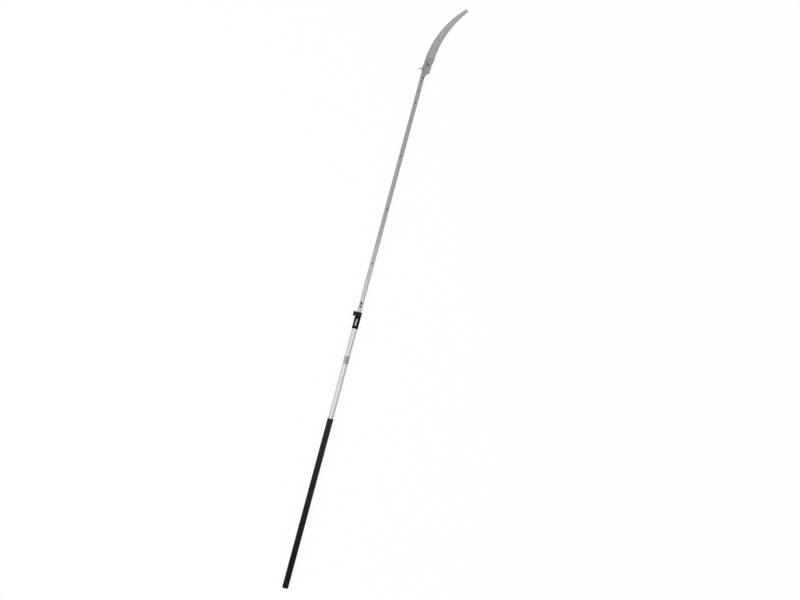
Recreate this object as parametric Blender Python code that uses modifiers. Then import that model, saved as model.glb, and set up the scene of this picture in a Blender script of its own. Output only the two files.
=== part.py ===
"""Two-section telescopic pole saw with a curved pull blade.

The saw lies on its back: X runs along the pole from the butt to the blade, Y
points away from the teeth, and Z points up through the index holes. The origin
is the middle of the butt's flat end. All sizes are in metres.
"""
import bmesh
import bpy
from math import acos, atan2, cos, pi, radians, sin, sqrt, tan
from mathutils import Matrix, Vector

# Clearances, and how far a cutter runs past what it cuts
GAP = 0.0003
CUT = 0.002

# Oval tubes: two half circles, with a flat of this width between them
OVAL_FLAT = 0.0066
OUTER_RADIUS = 0.0131
OUTER_WALL = 0.0014
BUSH_WALL = 0.00065
INNER_WALL = 0.0014
OUTER_TUBE_END = 1.660
INSERTION = 0.220
LAST_HOLE_TO_END = 0.158
ARC_STEPS = 14

# Grip and butt cap
GRIP_WALL = 0.0016
GRIP_END = 1.042
CAP_FLANGE = 0.006
CAP_LIP = 0.0007
CAP_PLUG = 0.028
CAP_PLUG_WALL = 0.0025
CAP_ROUND = 0.0015

# Wrap-round band, measured down from the outer tube's end
BAND_BELOW_END = 0.273
BAND_LENGTH = 0.047
BAND_WALL = 0.0005

# Guide bushes
MOUTH_BUSH_LENGTH = 0.034
SLIDE_BUSH_LENGTH = 0.040
SLIDE_BUSH_FLANGE = 0.003

# Index holes; the first one is where the index pin stands
HOLE_PITCH = 0.350
HOLE_STEPS = 4
HOLE_RADIUS = 0.00425
FIRST_HOLE_PAST_TUBE = 0.014

# Lock collar
LOCK_OVERLAP = 0.051
LOCK_LENGTH = 0.105
LOCK_WALL = 0.0031
LOCK_SIDE_WALL = 0.00205
LOCK_CHEEK = 0.0047
LOCK_BACK_ROUND = 0.003
LOCK_FRONT_ROUND = 0.008
LOCK_END_ROUND = 0.0012
LOCK_FLOOR_WALL = 0.0021
LOCK_SCREW_RADIUS = 0.0014
LOCK_SCREW_HEAD_RADIUS = 0.0027
LOCK_SCREW_FACE_RADIUS = 0.0022
LOCK_SCREW_HEAD = 0.0015
LOCK_SCREW_SINK = 0.0018
LOCK_SCREW_INSET = 0.009

# Index rocker, its pin, panel and leaf spring
ROCKER_INSET = 0.0065
ROCKER_HALF_WIDTH = 0.0084
ROCKER_PROUD = 0.0006
ROCKER_END_ROUND = 0.0012
ROCKER_ARM = 0.0285
ROCKER_PIN_DEPTH = 0.0030
ROCKER_PIN_RADIUS = 0.00125
ROCKER_TILT = radians(4.8)
ROCKER_SIDE_PLAY = 0.0005
ROCKER_END_PLAY = 0.0008
PANEL_INSET = 0.0105
PANEL_LENGTH = 0.047
PANEL_WIDTH = 0.0125
PANEL_DEPTH = 0.0010
PANEL_CORNER = 0.002
INDEX_PIN_RADIUS = 0.0034
INDEX_PIN_CHAMFER = 0.0006
INDEX_PIN_LEAD = 0.0004
INDEX_PIN_SOCKET = 0.0010
INDEX_BORE_RADIUS = 0.0048
SPRING_LENGTH = 0.034
SPRING_WIDTH = 0.012
SPRING_STRIP = 0.0005

# Flip lever, its pin and the pad under its cam
LEVER_PIN_STANDOFF = 0.0061
LEVER_PIN_RADIUS = 0.0015
LEVER_PIN_SEAT = 0.0032
LEVER_ARM = 0.0032
CAM_RADIUS = 0.0036
CAM_THROW = 0.0004
LEVER_ZONE_PAST_HOLE = 0.0075
LOWER_CHEEK = 0.0045
UPPER_CHEEK = 0.003
CHEEK_FROM_PIN = 0.0038
CHEEK_DROP = 0.0008
ARM_FROM_PIN = 0.0048
BAND_FROM_PIN = 0.0065
BAND_SLOPE = 0.007
BAND_INSET = 0.0035
BAND_CORNER = 0.001
KNUCKLE_ARC_END = radians(165)
CAM_ARC_START = radians(190)
CAM_ARC_END = radians(380)
ARM_ROUND = 0.002
ARM_TOP_ROUND = 0.014
TAB_EDGE_ROUND = 0.0026
TAB_PLAN_ROUND = 0.006
TAB_STANDOFF = 0.0011
TAB_FLARE = 0.0047
TAB_WIDTH = 0.0091
TAB_LENGTH = 0.030
TAB_NECK = 0.0215
TAB_THICKNESS = 0.0056
TAB_DROP = 0.003
PAD_ANGLE = radians(125.9)
PAD_HALF_ANGLE = radians(16)
PAD_SIDE_ANGLE = radians(1.5)

# Head core, measured from the inner tube's end
CORE_PLUG = 0.112
CORE_WALL = 0.0025
CORE_SOLID_END = 0.028
CORE_SHOULDER = 0.0025
TONGUE_THICKNESS = 0.010
TONGUE_INSET = 0.00175
TONGUE_END = 0.030

# Blade holder plates, measured from the inner tube's end
PLATE = 0.0025
PLATE_START = 0.0038
PLATE_BEND_END = 0.0495
PLATE_END = 0.154
PLATE_STRIP = 0.100
HOLDER_CORNERS = (
    (PLATE_START, 0.0126, 0.002),
    (PLATE_START, -0.0130, 0.002),
    (0.0110, -0.0134, 0.004),
    (0.0300, -0.0166, 0.004),
    (0.0450, -0.0262, 0.003),
    (0.0466, -0.0378, 0.0045),
    (0.0640, -0.0374, 0.010),
    (0.1060, -0.0382, 0.010),
    (0.1450, -0.0378, 0.003),
    (PLATE_END, 0.0103, 0.002),
    (0.0930, 0.0142, 0.006),
    (0.0810, 0.0162, 0.003),
    (0.0560, 0.0158, 0.003),
    (0.0430, 0.0114, 0.006),
)

# Blade, measured from the inner tube's end
BLADE_THICKNESS = 0.0015
BACK_RADIUS = 0.6074
BACK_START = Vector((0.1546, 0.0101))
BACK_TIP = Vector((0.5178, -0.1606))
TOOTH_RADIUS = 0.6500
TEETH_START = Vector((0.1650, -0.0467))
TEETH_TIP = Vector((0.4985, -0.1738))
BACK_STEPS = 20
TOOTH_PITCH = 0.0062
TOOTH_DEPTH = 0.0034
TOOTH_LEAN = 0.3
TANG_START = 0.0565
TANG_SHOULDER = 0.0815
TANG_WIDE = 0.098
TANG_LEFT = -0.004
TANG_RIGHT = -0.031
HEEL_START = 0.1115
HEEL_SHOULDER = -0.0407
HEEL_CREST = 0.1430
HEEL_EDGE = -0.0455
HEEL_ROUND = 0.0025
HEEL_CREST_ROUND = 0.012

# Fasteners of the head, measured from the inner tube's end
BOLT_RADIUS = 0.003
BOLT_PLACES = (Vector((0.103, -0.0114)), Vector((0.070, -0.0205)))
BOLT_HEAD_RADIUS = 0.00577
BOLT_HEAD = 0.004
BOLT_TAIL = 0.0013
BOLT_CHAMFER = 0.0006
WASHER_RADIUS = 0.006
WASHER = 0.0012
NUT = 0.006
RIVET_RADIUS = 0.002
RIVET_HEAD_RADIUS = 0.0038
RIVET_HEAD = 0.0013
HOLDER_RIVET_X = 0.0095
HOLDER_RIVET_INSET = 0.004
TUBE_RIVETS_BEFORE_END = (0.0134, 0.0753)

# Branch hook, measured from the inner tube's end
HOOK_THICKNESS = 0.0015
HOOK_CORNERS = (
    (0.0575, 0.0015, 0.001),
    (0.0795, 0.0015, 0.001),
    (0.0795, 0.0142, 0.001),
    (0.0748, 0.0160, 0.002),
    (0.0732, 0.0205, 0.004),
    (0.0728, 0.0280, 0.004),
    (0.0678, 0.0336, 0.003),
    (0.0588, 0.0338, 0.0012),
    (0.0586, 0.0312, 0.0008),
    (0.0662, 0.0262, 0.002),
    (0.0664, 0.0195, 0.0015),
    (0.0605, 0.0142, 0.001),
)
HOOK_RIVET = Vector((0.0650, 0.0100))

# Sizes that follow from the tubes and their clearances
OUTER_BORE = OUTER_RADIUS - OUTER_WALL
INNER_RADIUS = OUTER_BORE - 2 * GAP - BUSH_WALL
INNER_BORE = INNER_RADIUS - INNER_WALL
FIRST_HOLE = OUTER_TUBE_END + FIRST_HOLE_PAST_TUBE
INNER_TUBE_START = OUTER_TUBE_END - INSERTION
INNER_TUBE_END = FIRST_HOLE + HOLE_STEPS * HOLE_PITCH + LAST_HOLE_TO_END
LOCK_START = OUTER_TUBE_END - LOCK_OVERLAP
LOCK_END = LOCK_START + LOCK_LENGTH
LOCK_BACK = -(OUTER_RADIUS + GAP + LOCK_WALL)
LOCK_FLOOR = OUTER_RADIUS + GAP + LOCK_FLOOR_WALL
LOCK_TOP = LOCK_FLOOR + LOCK_CHEEK
LOCK_HALF_WIDTH = OVAL_FLAT / 2 + OUTER_RADIUS + GAP + LOCK_SIDE_WALL
LEVER_ZONE = FIRST_HOLE + LEVER_ZONE_PAST_HOLE
ROCKER_START = LOCK_START + ROCKER_INSET
ROCKER_END = LEVER_ZONE - ROCKER_END_PLAY
ROCKER_PIVOT = FIRST_HOLE - ROCKER_ARM
ROCKER_UNDERSIDE = LOCK_FLOOR + GAP
ROCKER_TOP = LOCK_TOP + ROCKER_PROUD
ROCKER_PIVOT_HEIGHT = ROCKER_TOP - ROCKER_PIN_DEPTH
PANEL_START = ROCKER_START + PANEL_INSET
INDEX_PIN_X = FIRST_HOLE + INDEX_PIN_LEAD
INDEX_PIN_SEAT = ROCKER_UNDERSIDE + (INDEX_PIN_X - ROCKER_PIVOT) * tan(ROCKER_TILT)
TUBE_SIDE = Vector((-OVAL_FLAT / 2, 0.0))
FROM_TUBE = Vector((cos(PAD_ANGLE), sin(PAD_ANGLE)))
LEVER_PIN = TUBE_SIDE + FROM_TUBE * (INNER_RADIUS + LEVER_PIN_STANDOFF)
PAD_OUTER = INNER_RADIUS + LEVER_PIN_STANDOFF - CAM_RADIUS - CAM_THROW - GAP
KNUCKLE_START = LEVER_ZONE + LOWER_CHEEK
KNUCKLE_END = LOCK_END - UPPER_CHEEK
ARM_UNDERSIDE = LOCK_FLOOR + GAP
ARM_TOP = ARM_UNDERSIDE + LEVER_ARM
KNUCKLE_RADIUS = ARM_TOP - LEVER_PIN.y
TAB_NECK_Y = LOCK_HALF_WIDTH + TAB_STANDOFF
TAB_FLARE_Y = TAB_NECK_Y + TAB_FLARE
TAB_REACH = TAB_FLARE_Y + TAB_WIDTH
TONGUE_WIDTH = OVAL_FLAT + 2 * (INNER_RADIUS - TONGUE_INSET)
HOLDER_RIVET_Y = TONGUE_WIDTH / 2 - HOLDER_RIVET_INSET
PLATE_INNER = BLADE_THICKNESS / 2 + GAP
PLATE_OUTER = PLATE_INNER + PLATE
FOOT_INNER = TONGUE_THICKNESS / 2 + GAP
FOOT_OUTER = FOOT_INNER + PLATE

# Turns a shape drawn in X and Y to stand across the pole, or in the plane of X and Z
ACROSS_POLE = Matrix.Rotation(pi / 2, 4, "Z") @ Matrix.Rotation(pi / 2, 4, "X")
SIDE_ON = Matrix.Rotation(pi / 2, 4, "X")
FLAT_ON = Matrix.Identity(4)

for thing in list(bpy.data.objects):
    bpy.data.objects.remove(thing, do_unlink=True)

PARTS = bpy.data.collections.new("pole_saw")
CUTTERS = bpy.data.collections.new("cutters")
bpy.context.scene.collection.children.link(PARTS)
bpy.context.scene.collection.children.link(CUTTERS)


def material(name, colour, roughness, metallic):
    made = bpy.data.materials.new(name)
    made.use_nodes = True
    shader = made.node_tree.nodes["Principled BSDF"]
    shader.inputs["Base Color"].default_value = (*colour, 1.0)
    shader.inputs["Roughness"].default_value = roughness
    shader.inputs["Metallic"].default_value = metallic
    return made


RUBBER = material("grip_rubber", (0.014, 0.0135, 0.013), 0.85, 0.0)
PALE_ALUMINIUM = material("pale_aluminium", (0.52, 0.52, 0.51), 0.35, 1.0)
GREY_ALUMINIUM = material("grey_aluminium", (0.35, 0.345, 0.335), 0.35, 1.0)
BAND_FILM = material("band_film", (0.26, 0.26, 0.255), 0.45, 0.0)
BUSH_PLASTIC = material("bush_plastic", (0.45, 0.45, 0.43), 0.5, 0.0)
LOCK_PLASTIC = material("lock_plastic", (0.010, 0.010, 0.0095), 0.5, 0.0)
PANEL_PLASTIC = material("panel_plastic", (0.55, 0.53, 0.50), 0.4, 0.0)
BLADE_STEEL = material("blade_steel", (0.34, 0.335, 0.325), 0.35, 1.0)
HOLDER_STEEL = material("holder_steel", (0.26, 0.255, 0.245), 0.45, 1.0)
ZINC_STEEL = material("zinc_steel", (0.45, 0.45, 0.44), 0.35, 1.0)
DARK_STEEL = material("dark_steel", (0.07, 0.068, 0.065), 0.45, 1.0)


# Outlines

def on_circle(centre, radius, angle):
    return (centre[0] + radius * cos(angle), centre[1] + radius * sin(angle))


def arc(centre, radius, start, end, steps):
    turn = (end - start) / steps
    return [on_circle(centre, radius, start + turn * i) for i in range(steps + 1)]


def circle(centre, radius, steps):
    return arc(centre, radius, 0.0, 2 * pi, steps)[:-1]


def oval(radius):
    """The pole's oval: half circles of this radius on either side of the flat."""
    half = OVAL_FLAT / 2
    right = arc((half, 0.0), radius, -pi / 2, pi / 2, ARC_STEPS)
    left = arc((-half, 0.0), radius, pi / 2, 3 * pi / 2, ARC_STEPS)
    return right + left


def rectangle(left, right, low, high):
    return [(left, low), (right, low), (right, high), (left, high)]


def rounded(corners, steps=5):
    """An outline whose corners, each (x, y, radius), become arcs."""
    points = []
    for i, (x, y, radius) in enumerate(corners):
        here = Vector((x, y))
        if radius == 0:
            points.append((x, y))
            continue
        back = (Vector(corners[i - 1][:2]) - here).normalized()
        ahead = (Vector(corners[(i + 1) % len(corners)][:2]) - here).normalized()
        half = acos(back.dot(ahead)) / 2
        middle = here + (back + ahead).normalized() * (radius / sin(half))
        first = here + back * (radius / tan(half)) - middle
        last = here + ahead * (radius / tan(half)) - middle
        start = atan2(first.y, first.x)
        sweep = (atan2(last.y, last.x) - start + pi) % (2 * pi) - pi
        points += arc(middle, radius, start, start + sweep, steps)
    return points


# Solids

def paint(solid, finish):
    solid.data.materials.clear()
    solid.data.materials.append(finish)
    return solid


def smooth(solid):
    solid.data.shade_smooth()
    solid.data.set_sharp_from_angle(angle=radians(35))
    return solid


def prism(name, loops, depth, place, turn=FLAT_ON, finish=LOCK_PLASTIC):
    """A solid of even depth, centred on its place; loops after the first are holes."""
    curve = bpy.data.curves.new(name, "CURVE")
    curve.dimensions = "2D"
    curve.fill_mode = "BOTH"
    curve.extrude = depth / 2
    for loop in loops:
        spline = curve.splines.new("POLY")
        spline.points.add(len(loop) - 1)
        for point, (x, y) in zip(spline.points, loop):
            point.co = (x, y, 0.0, 1.0)
        spline.use_cyclic_u = True
    drawn = bpy.data.objects.new(name + "_outline", curve)
    PARTS.objects.link(drawn)
    drawn.matrix_world = Matrix.Translation(place) @ turn
    bpy.context.view_layer.update()
    graph = bpy.context.evaluated_depsgraph_get()
    mesh = bpy.data.meshes.new_from_object(drawn.evaluated_get(graph))
    shape = bmesh.new()
    shape.from_mesh(mesh)
    bmesh.ops.remove_doubles(shape, verts=shape.verts, dist=1e-7)
    bmesh.ops.recalc_face_normals(shape, faces=shape.faces)
    shape.to_mesh(mesh)
    shape.free()
    solid = bpy.data.objects.new(name, mesh)
    solid.matrix_world = drawn.matrix_world
    bpy.data.objects.remove(drawn, do_unlink=True)
    bpy.data.curves.remove(curve)
    PARTS.objects.link(solid)
    return smooth(paint(solid, finish))


def along_pole(name, loops, start, end, finish=LOCK_PLASTIC):
    """A prism with its outline drawn in Y and Z, from one X to another."""
    return prism(name, loops, end - start, ((start + end) / 2, 0.0, 0.0), ACROSS_POLE, finish)


def upright(name, loops, low, high, finish=LOCK_PLASTIC, start=0.0):
    """A prism with its outline drawn in X, from a start, and Y, from one Z to another."""
    return prism(name, loops, high - low, (start, 0.0, (low + high) / 2), FLAT_ON, finish)


def box(name, x, y, z):
    return along_pole(name, [rectangle(y[0], y[1], z[0], z[1])], x[0], x[1])


def turned(name, profile, place, steps, finish=ZINC_STEEL):
    """A solid turned about Z from (radius, height) points, top to bottom."""
    mesh = bpy.data.meshes.new(name)
    edges = [(i, i + 1) for i in range(len(profile) - 1)]
    mesh.from_pydata([(radius, 0.0, height) for radius, height in profile], edges, [])
    solid = bpy.data.objects.new(name, mesh)
    solid.location = place
    screw = solid.modifiers.new("Turn", "SCREW")
    screw.steps = steps
    screw.render_steps = steps
    screw.use_merge_vertices = True
    screw.merge_threshold = 0.00001
    PARTS.objects.link(solid)
    return paint(solid, finish)


def soften(solid, width, segments=2):
    bevel = solid.modifiers.new("Round", "BEVEL")
    bevel.width = width
    bevel.segments = segments
    bevel.limit_method = "ANGLE"
    bevel.angle_limit = radians(50)
    return solid


def combine(solid, tool, operation):
    PARTS.objects.unlink(tool)
    CUTTERS.objects.link(tool)
    tool.hide_render = True
    tool.display_type = "WIRE"
    change = solid.modifiers.new(tool.name, "BOOLEAN")
    change.operation = operation
    change.object = tool


def cut(solid, *tools):
    for tool in tools:
        combine(solid, tool, "DIFFERENCE")


def unite(solid, *tools):
    for tool in tools:
        combine(solid, tool, "UNION")


def hole(solid, place, radius, low, high, start=0.0, steps=20):
    """A round hole through a solid, parallel to Z."""
    outline = circle(place, radius, steps)
    cut(solid, upright(solid.name + "_hole", [outline], low, high, start=start))


def follow(pivot_name, place, solids):
    """An empty on a joint's axis that carries the pieces which move there."""
    pivot = bpy.data.objects.new(pivot_name, None)
    pivot.location = place
    PARTS.objects.link(pivot)
    bpy.context.view_layer.update()
    for solid in solids:
        solid.parent = pivot
        solid.matrix_parent_inverse = pivot.matrix_world.inverted()


# Lower section

def butt_cap():
    grip_radius = OUTER_RADIUS + GAP + GRIP_WALL
    plug_radius = OUTER_BORE - GAP
    plug_end = CAP_FLANGE + CAP_PLUG
    cap = along_pole("butt_cap", [oval(grip_radius + CAP_LIP)], 0.0, CAP_FLANGE, RUBBER)
    soften(cap, CAP_ROUND)
    unite(cap, along_pole("cap_plug", [oval(plug_radius)], CAP_FLANGE / 2, plug_end))
    cut(cap, along_pole("cap_hollow", [oval(plug_radius - CAP_PLUG_WALL)], CAP_FLANGE, plug_end + CUT))


def grip_sleeve():
    outside = oval(OUTER_RADIUS + GAP + GRIP_WALL)
    along_pole("grip_sleeve", [outside, oval(OUTER_RADIUS + GAP)], CAP_FLANGE + GAP, GRIP_END, RUBBER)


def lock_screw_places():
    return (LOCK_START + LOCK_SCREW_INSET, OUTER_TUBE_END - LOCK_SCREW_INSET)


def outer_tube():
    loops = [oval(OUTER_RADIUS), oval(OUTER_BORE)]
    tube = along_pole("outer_tube", loops, CAP_FLANGE + GAP, OUTER_TUBE_END, PALE_ALUMINIUM)
    for place in lock_screw_places():
        hole(tube, (0.0, 0.0), LOCK_SCREW_RADIUS + GAP, -OUTER_RADIUS - CUT, 0.0, start=place)


def info_band():
    start = OUTER_TUBE_END - BAND_BELOW_END
    loops = [oval(OUTER_RADIUS + GAP + BAND_WALL), oval(OUTER_RADIUS + GAP)]
    along_pole("info_band", loops, start, start + BAND_LENGTH, BAND_FILM)


def mouth_bush():
    loops = [oval(OUTER_BORE - GAP), oval(INNER_RADIUS + GAP)]
    along_pole("mouth_bush", loops, OUTER_TUBE_END - MOUTH_BUSH_LENGTH, OUTER_TUBE_END, BUSH_PLASTIC)


# Lock collar

def pad_sector(inner, outer, half_angle):
    outside = arc(TUBE_SIDE, outer, PAD_ANGLE - half_angle, PAD_ANGLE + half_angle, 8)
    inside = arc(TUBE_SIDE, inner, PAD_ANGLE + half_angle, PAD_ANGLE - half_angle, 8)
    return outside + inside


def rocker_pin_reach():
    """Half the collar's width at the rocker pin's height, less a little to sink its ends."""
    round_centre = LOCK_TOP - LOCK_FRONT_ROUND
    rise = ROCKER_PIVOT_HEIGHT + ROCKER_PIN_RADIUS - round_centre
    return LOCK_HALF_WIDTH - LOCK_FRONT_ROUND + sqrt(LOCK_FRONT_ROUND ** 2 - rise ** 2) - GAP


def lock_body():
    side = LOCK_HALF_WIDTH
    outline = rounded([
        (-side, LOCK_BACK, LOCK_BACK_ROUND),
        (side, LOCK_BACK, LOCK_BACK_ROUND),
        (side, LOCK_TOP, LOCK_FRONT_ROUND),
        (-side, LOCK_TOP, LOCK_FRONT_ROUND),
    ])
    body = soften(along_pole("lock_body", [outline], LOCK_START, LOCK_END), LOCK_END_ROUND)
    above = LOCK_TOP + CUT
    past_end = LOCK_END + CUT
    recess_side = ROCKER_HALF_WIDTH + ROCKER_SIDE_PLAY
    recess_start = ROCKER_START - ROCKER_END_PLAY
    pocket_floor = LOCK_FLOOR - SPRING_STRIP - GAP
    spring_half = SPRING_LENGTH / 2 + GAP
    spring_side = SPRING_WIDTH / 2 + GAP
    cheek_edge = LEVER_PIN.x + CHEEK_FROM_PIN
    knuckle = [circle(LEVER_PIN, KNUCKLE_RADIUS + GAP, 36)]
    window = [pad_sector(INNER_BORE, PAD_OUTER + CUT, PAD_HALF_ANGLE + PAD_SIDE_ANGLE)]
    pin_hole = [circle(LEVER_PIN, LEVER_PIN_RADIUS + GAP, 16)]
    cut(
        body,
        along_pole("tube_seat", [oval(OUTER_RADIUS + GAP)], LOCK_START - CUT, OUTER_TUBE_END + GAP),
        along_pole("slide_bore", [oval(INNER_RADIUS + GAP)], LOCK_START, past_end),
        box("rocker_recess", (recess_start, LEVER_ZONE + CUT), (-recess_side, recess_side), (LOCK_FLOOR, above)),
        box("lever_seat", (LEVER_ZONE, past_end), (cheek_edge, side + CUT), (LOCK_FLOOR, above)),
        box("cheek_top", (LEVER_ZONE, past_end), (-side - CUT, cheek_edge + CUT), (ARM_TOP - CHEEK_DROP, above)),
        box("knuckle_way", (KNUCKLE_START, KNUCKLE_END), (-side - CUT, cheek_edge + CUT), (LEVER_PIN.y, above)),
        along_pole("knuckle_pocket", knuckle, KNUCKLE_START, KNUCKLE_END),
        along_pole("pad_window", window, KNUCKLE_START, KNUCKLE_END),
        along_pole("lever_pin_hole", pin_hole, KNUCKLE_START - LEVER_PIN_SEAT - GAP, past_end),
        box(
            "spring_pocket",
            (ROCKER_PIVOT - spring_half, ROCKER_PIVOT + spring_half),
            (-spring_side, spring_side),
            (pocket_floor, above),
        ),
        prism(
            "rocker_pin_hole",
            [circle((0.0, 0.0), ROCKER_PIN_RADIUS + GAP, 16)],
            2 * side + CUT,
            (ROCKER_PIVOT, 0.0, ROCKER_PIVOT_HEIGHT),
            SIDE_ON,
        ),
    )
    hole(body, (0.0, 0.0), INDEX_BORE_RADIUS, 0.0, above, start=INDEX_PIN_X, steps=24)
    for place in lock_screw_places():
        hole(body, (0.0, 0.0), LOCK_SCREW_RADIUS + GAP, LOCK_BACK - CUT, 0.0, start=place)
        sink = LOCK_BACK + LOCK_SCREW_SINK
        hole(body, (0.0, 0.0), LOCK_SCREW_HEAD_RADIUS + GAP, LOCK_BACK - CUT, sink, start=place)


def lock_screws():
    head_top = LOCK_BACK + LOCK_SCREW_SINK - GAP
    profile = [
        (0.0, -OUTER_BORE),
        (LOCK_SCREW_RADIUS, -OUTER_BORE),
        (LOCK_SCREW_RADIUS, head_top),
        (LOCK_SCREW_HEAD_RADIUS, head_top),
        (LOCK_SCREW_FACE_RADIUS, head_top - LOCK_SCREW_HEAD),
        (0.0, head_top - LOCK_SCREW_HEAD),
    ]
    for number, place in enumerate(lock_screw_places(), 1):
        turned(f"lock_screw_{number}", profile, (place, 0.0, 0.0), 20)


def lever_pin():
    outline = circle(LEVER_PIN, LEVER_PIN_RADIUS, 16)
    start = KNUCKLE_START - LEVER_PIN_SEAT
    along_pole("lever_pin", [outline], start, LOCK_END - GAP, ZINC_STEEL)


def clamp_pad():
    outline = pad_sector(INNER_RADIUS + GAP, PAD_OUTER, PAD_HALF_ANGLE)
    pad = along_pole("clamp_pad", [outline], KNUCKLE_START + GAP, KNUCKLE_END - GAP, RUBBER)
    follow("clamp_pad_slide", (LOCK_END, LEVER_PIN.x, LEVER_PIN.y), [pad])


def clamp_lever():
    """Knuckle with its cam, arm across the front of the collar, and finger tab."""
    tab_top = ARM_TOP - TAB_DROP
    tab_bottom = tab_top - TAB_THICKNESS
    cam_centre = LEVER_PIN - FROM_TUBE * CAM_THROW
    arm = rounded([
        (LEVER_PIN.x + ARM_FROM_PIN, ARM_UNDERSIDE, 0),
        (TAB_NECK_Y, ARM_UNDERSIDE, ARM_ROUND),
        (TAB_FLARE_Y, tab_bottom, 2 * ARM_ROUND),
        (TAB_REACH, tab_bottom, TAB_EDGE_ROUND),
        (TAB_REACH, tab_top, TAB_EDGE_ROUND),
        (TAB_NECK_Y, ARM_TOP, ARM_TOP_ROUND),
        (LEVER_PIN.x, ARM_TOP, 0),
    ])
    knuckle = arc(LEVER_PIN, KNUCKLE_RADIUS, pi / 2, KNUCKLE_ARC_END, 8)[1:]
    cam = arc(cam_centre, CAM_RADIUS, CAM_ARC_START, CAM_ARC_END, 14)
    high = LOCK_END + 2 * GAP
    low = high - TAB_LENGTH
    lever = along_pole("clamp_lever", [arm + knuckle + cam], low - CUT, high + CUT)
    band_start = LEVER_PIN.x + BAND_FROM_PIN
    band_end = LOCK_HALF_WIDTH - BAND_INSET
    neck_middle = (low + high) / 2
    narrow = (KNUCKLE_START + GAP, KNUCKLE_END - GAP)
    wide = (LEVER_ZONE + ROCKER_END_PLAY, LOCK_END - GAP)
    neck = (neck_middle - TAB_NECK / 2, neck_middle + TAB_NECK / 2)
    plan = rounded([
        (narrow[0], -LOCK_HALF_WIDTH - CUT, 0),
        (narrow[1], -LOCK_HALF_WIDTH - CUT, 0),
        (narrow[1], band_start, 0),
        (wide[1], band_start, BAND_CORNER),
        (wide[1], band_end, ARM_ROUND),
        (neck[1], TAB_NECK_Y, ARM_ROUND),
        (high, TAB_FLARE_Y, TAB_PLAN_ROUND / 2),
        (high, TAB_REACH + GAP, TAB_PLAN_ROUND),
        (low, TAB_REACH + GAP, TAB_PLAN_ROUND),
        (low, TAB_FLARE_Y, TAB_PLAN_ROUND / 2),
        (neck[0], TAB_NECK_Y, ARM_ROUND),
        (wide[0] + BAND_SLOPE, band_end, ARM_ROUND),
        (wide[0], band_start, BAND_CORNER),
        (narrow[0], band_start, 0),
    ])
    combine(lever, upright("lever_plan", [plan], 0.0, ARM_TOP + CUT), "INTERSECT")
    pin_hole = [circle(LEVER_PIN, LEVER_PIN_RADIUS + GAP, 16)]
    cut(lever, along_pole("lever_pin_way", pin_hole, low - CUT, high + CUT))
    follow("clamp_lever_hinge", (LOCK_END, LEVER_PIN.x, LEVER_PIN.y), [lever])


def index_rocker():
    end_underside = ROCKER_UNDERSIDE + (ROCKER_END - ROCKER_PIVOT) * tan(ROCKER_TILT)
    outline = rounded([
        (ROCKER_START, ROCKER_UNDERSIDE, 0),
        (ROCKER_PIVOT, ROCKER_UNDERSIDE, 0),
        (ROCKER_END, end_underside, 0),
        (ROCKER_END, ROCKER_TOP, ROCKER_END_ROUND),
        (ROCKER_START, ROCKER_TOP, ROCKER_END_ROUND),
    ])
    rocker = prism("index_rocker", [outline], 2 * ROCKER_HALF_WIDTH, (0.0, 0.0, 0.0), SIDE_ON)
    socket_top = INDEX_PIN_SEAT + INDEX_PIN_SOCKET
    recess = panel_outline(PANEL_CORNER + GAP, GAP)
    cut(
        rocker,
        prism(
            "rocker_pin_way",
            [circle((ROCKER_PIVOT, ROCKER_PIVOT_HEIGHT), ROCKER_PIN_RADIUS + GAP, 16)],
            2 * ROCKER_HALF_WIDTH + CUT,
            (0.0, 0.0, 0.0),
            SIDE_ON,
        ),
        upright("panel_recess", [recess], ROCKER_TOP - PANEL_DEPTH, ROCKER_TOP + CUT),
    )
    hole(rocker, (0.0, 0.0), INDEX_PIN_RADIUS + GAP, 0.0, socket_top, start=INDEX_PIN_X, steps=24)
    panel_floor = ROCKER_TOP - PANEL_DEPTH + GAP
    panel = upright("rocker_panel", [panel_outline(PANEL_CORNER, 0.0)], panel_floor, ROCKER_TOP, PANEL_PLASTIC)
    tip = INNER_RADIUS + GAP
    pin_profile = [
        (0.0, socket_top - GAP),
        (INDEX_PIN_RADIUS, socket_top - GAP),
        (INDEX_PIN_RADIUS, tip + INDEX_PIN_CHAMFER),
        (INDEX_PIN_RADIUS - INDEX_PIN_CHAMFER, tip),
        (0.0, tip),
    ]
    pin = turned("index_pin", pin_profile, (INDEX_PIN_X, 0.0, 0.0), 24)
    follow("index_rocker_hinge", (ROCKER_PIVOT, 0.0, ROCKER_PIVOT_HEIGHT), [rocker, panel, pin])


def panel_outline(corner, margin):
    left = PANEL_START - margin
    right = PANEL_START + PANEL_LENGTH + margin
    half = PANEL_WIDTH / 2 + margin
    return rounded([
        (left, -half, corner),
        (right, -half, corner),
        (right, half, corner),
        (left, half, corner),
    ])


def rocker_pin():
    outline = circle((0.0, 0.0), ROCKER_PIN_RADIUS, 16)
    place = (ROCKER_PIVOT, 0.0, ROCKER_PIVOT_HEIGHT)
    prism("rocker_pin", [outline], 2 * rocker_pin_reach(), place, SIDE_ON, ZINC_STEEL)


def rocker_spring():
    half = SPRING_LENGTH / 2
    strip = box(
        "rocker_spring",
        (ROCKER_PIVOT - half, ROCKER_PIVOT + half),
        (-SPRING_WIDTH / 2, SPRING_WIDTH / 2),
        (LOCK_FLOOR - SPRING_STRIP, LOCK_FLOOR),
    )
    paint(strip, ZINC_STEEL)


# Upper section

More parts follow.
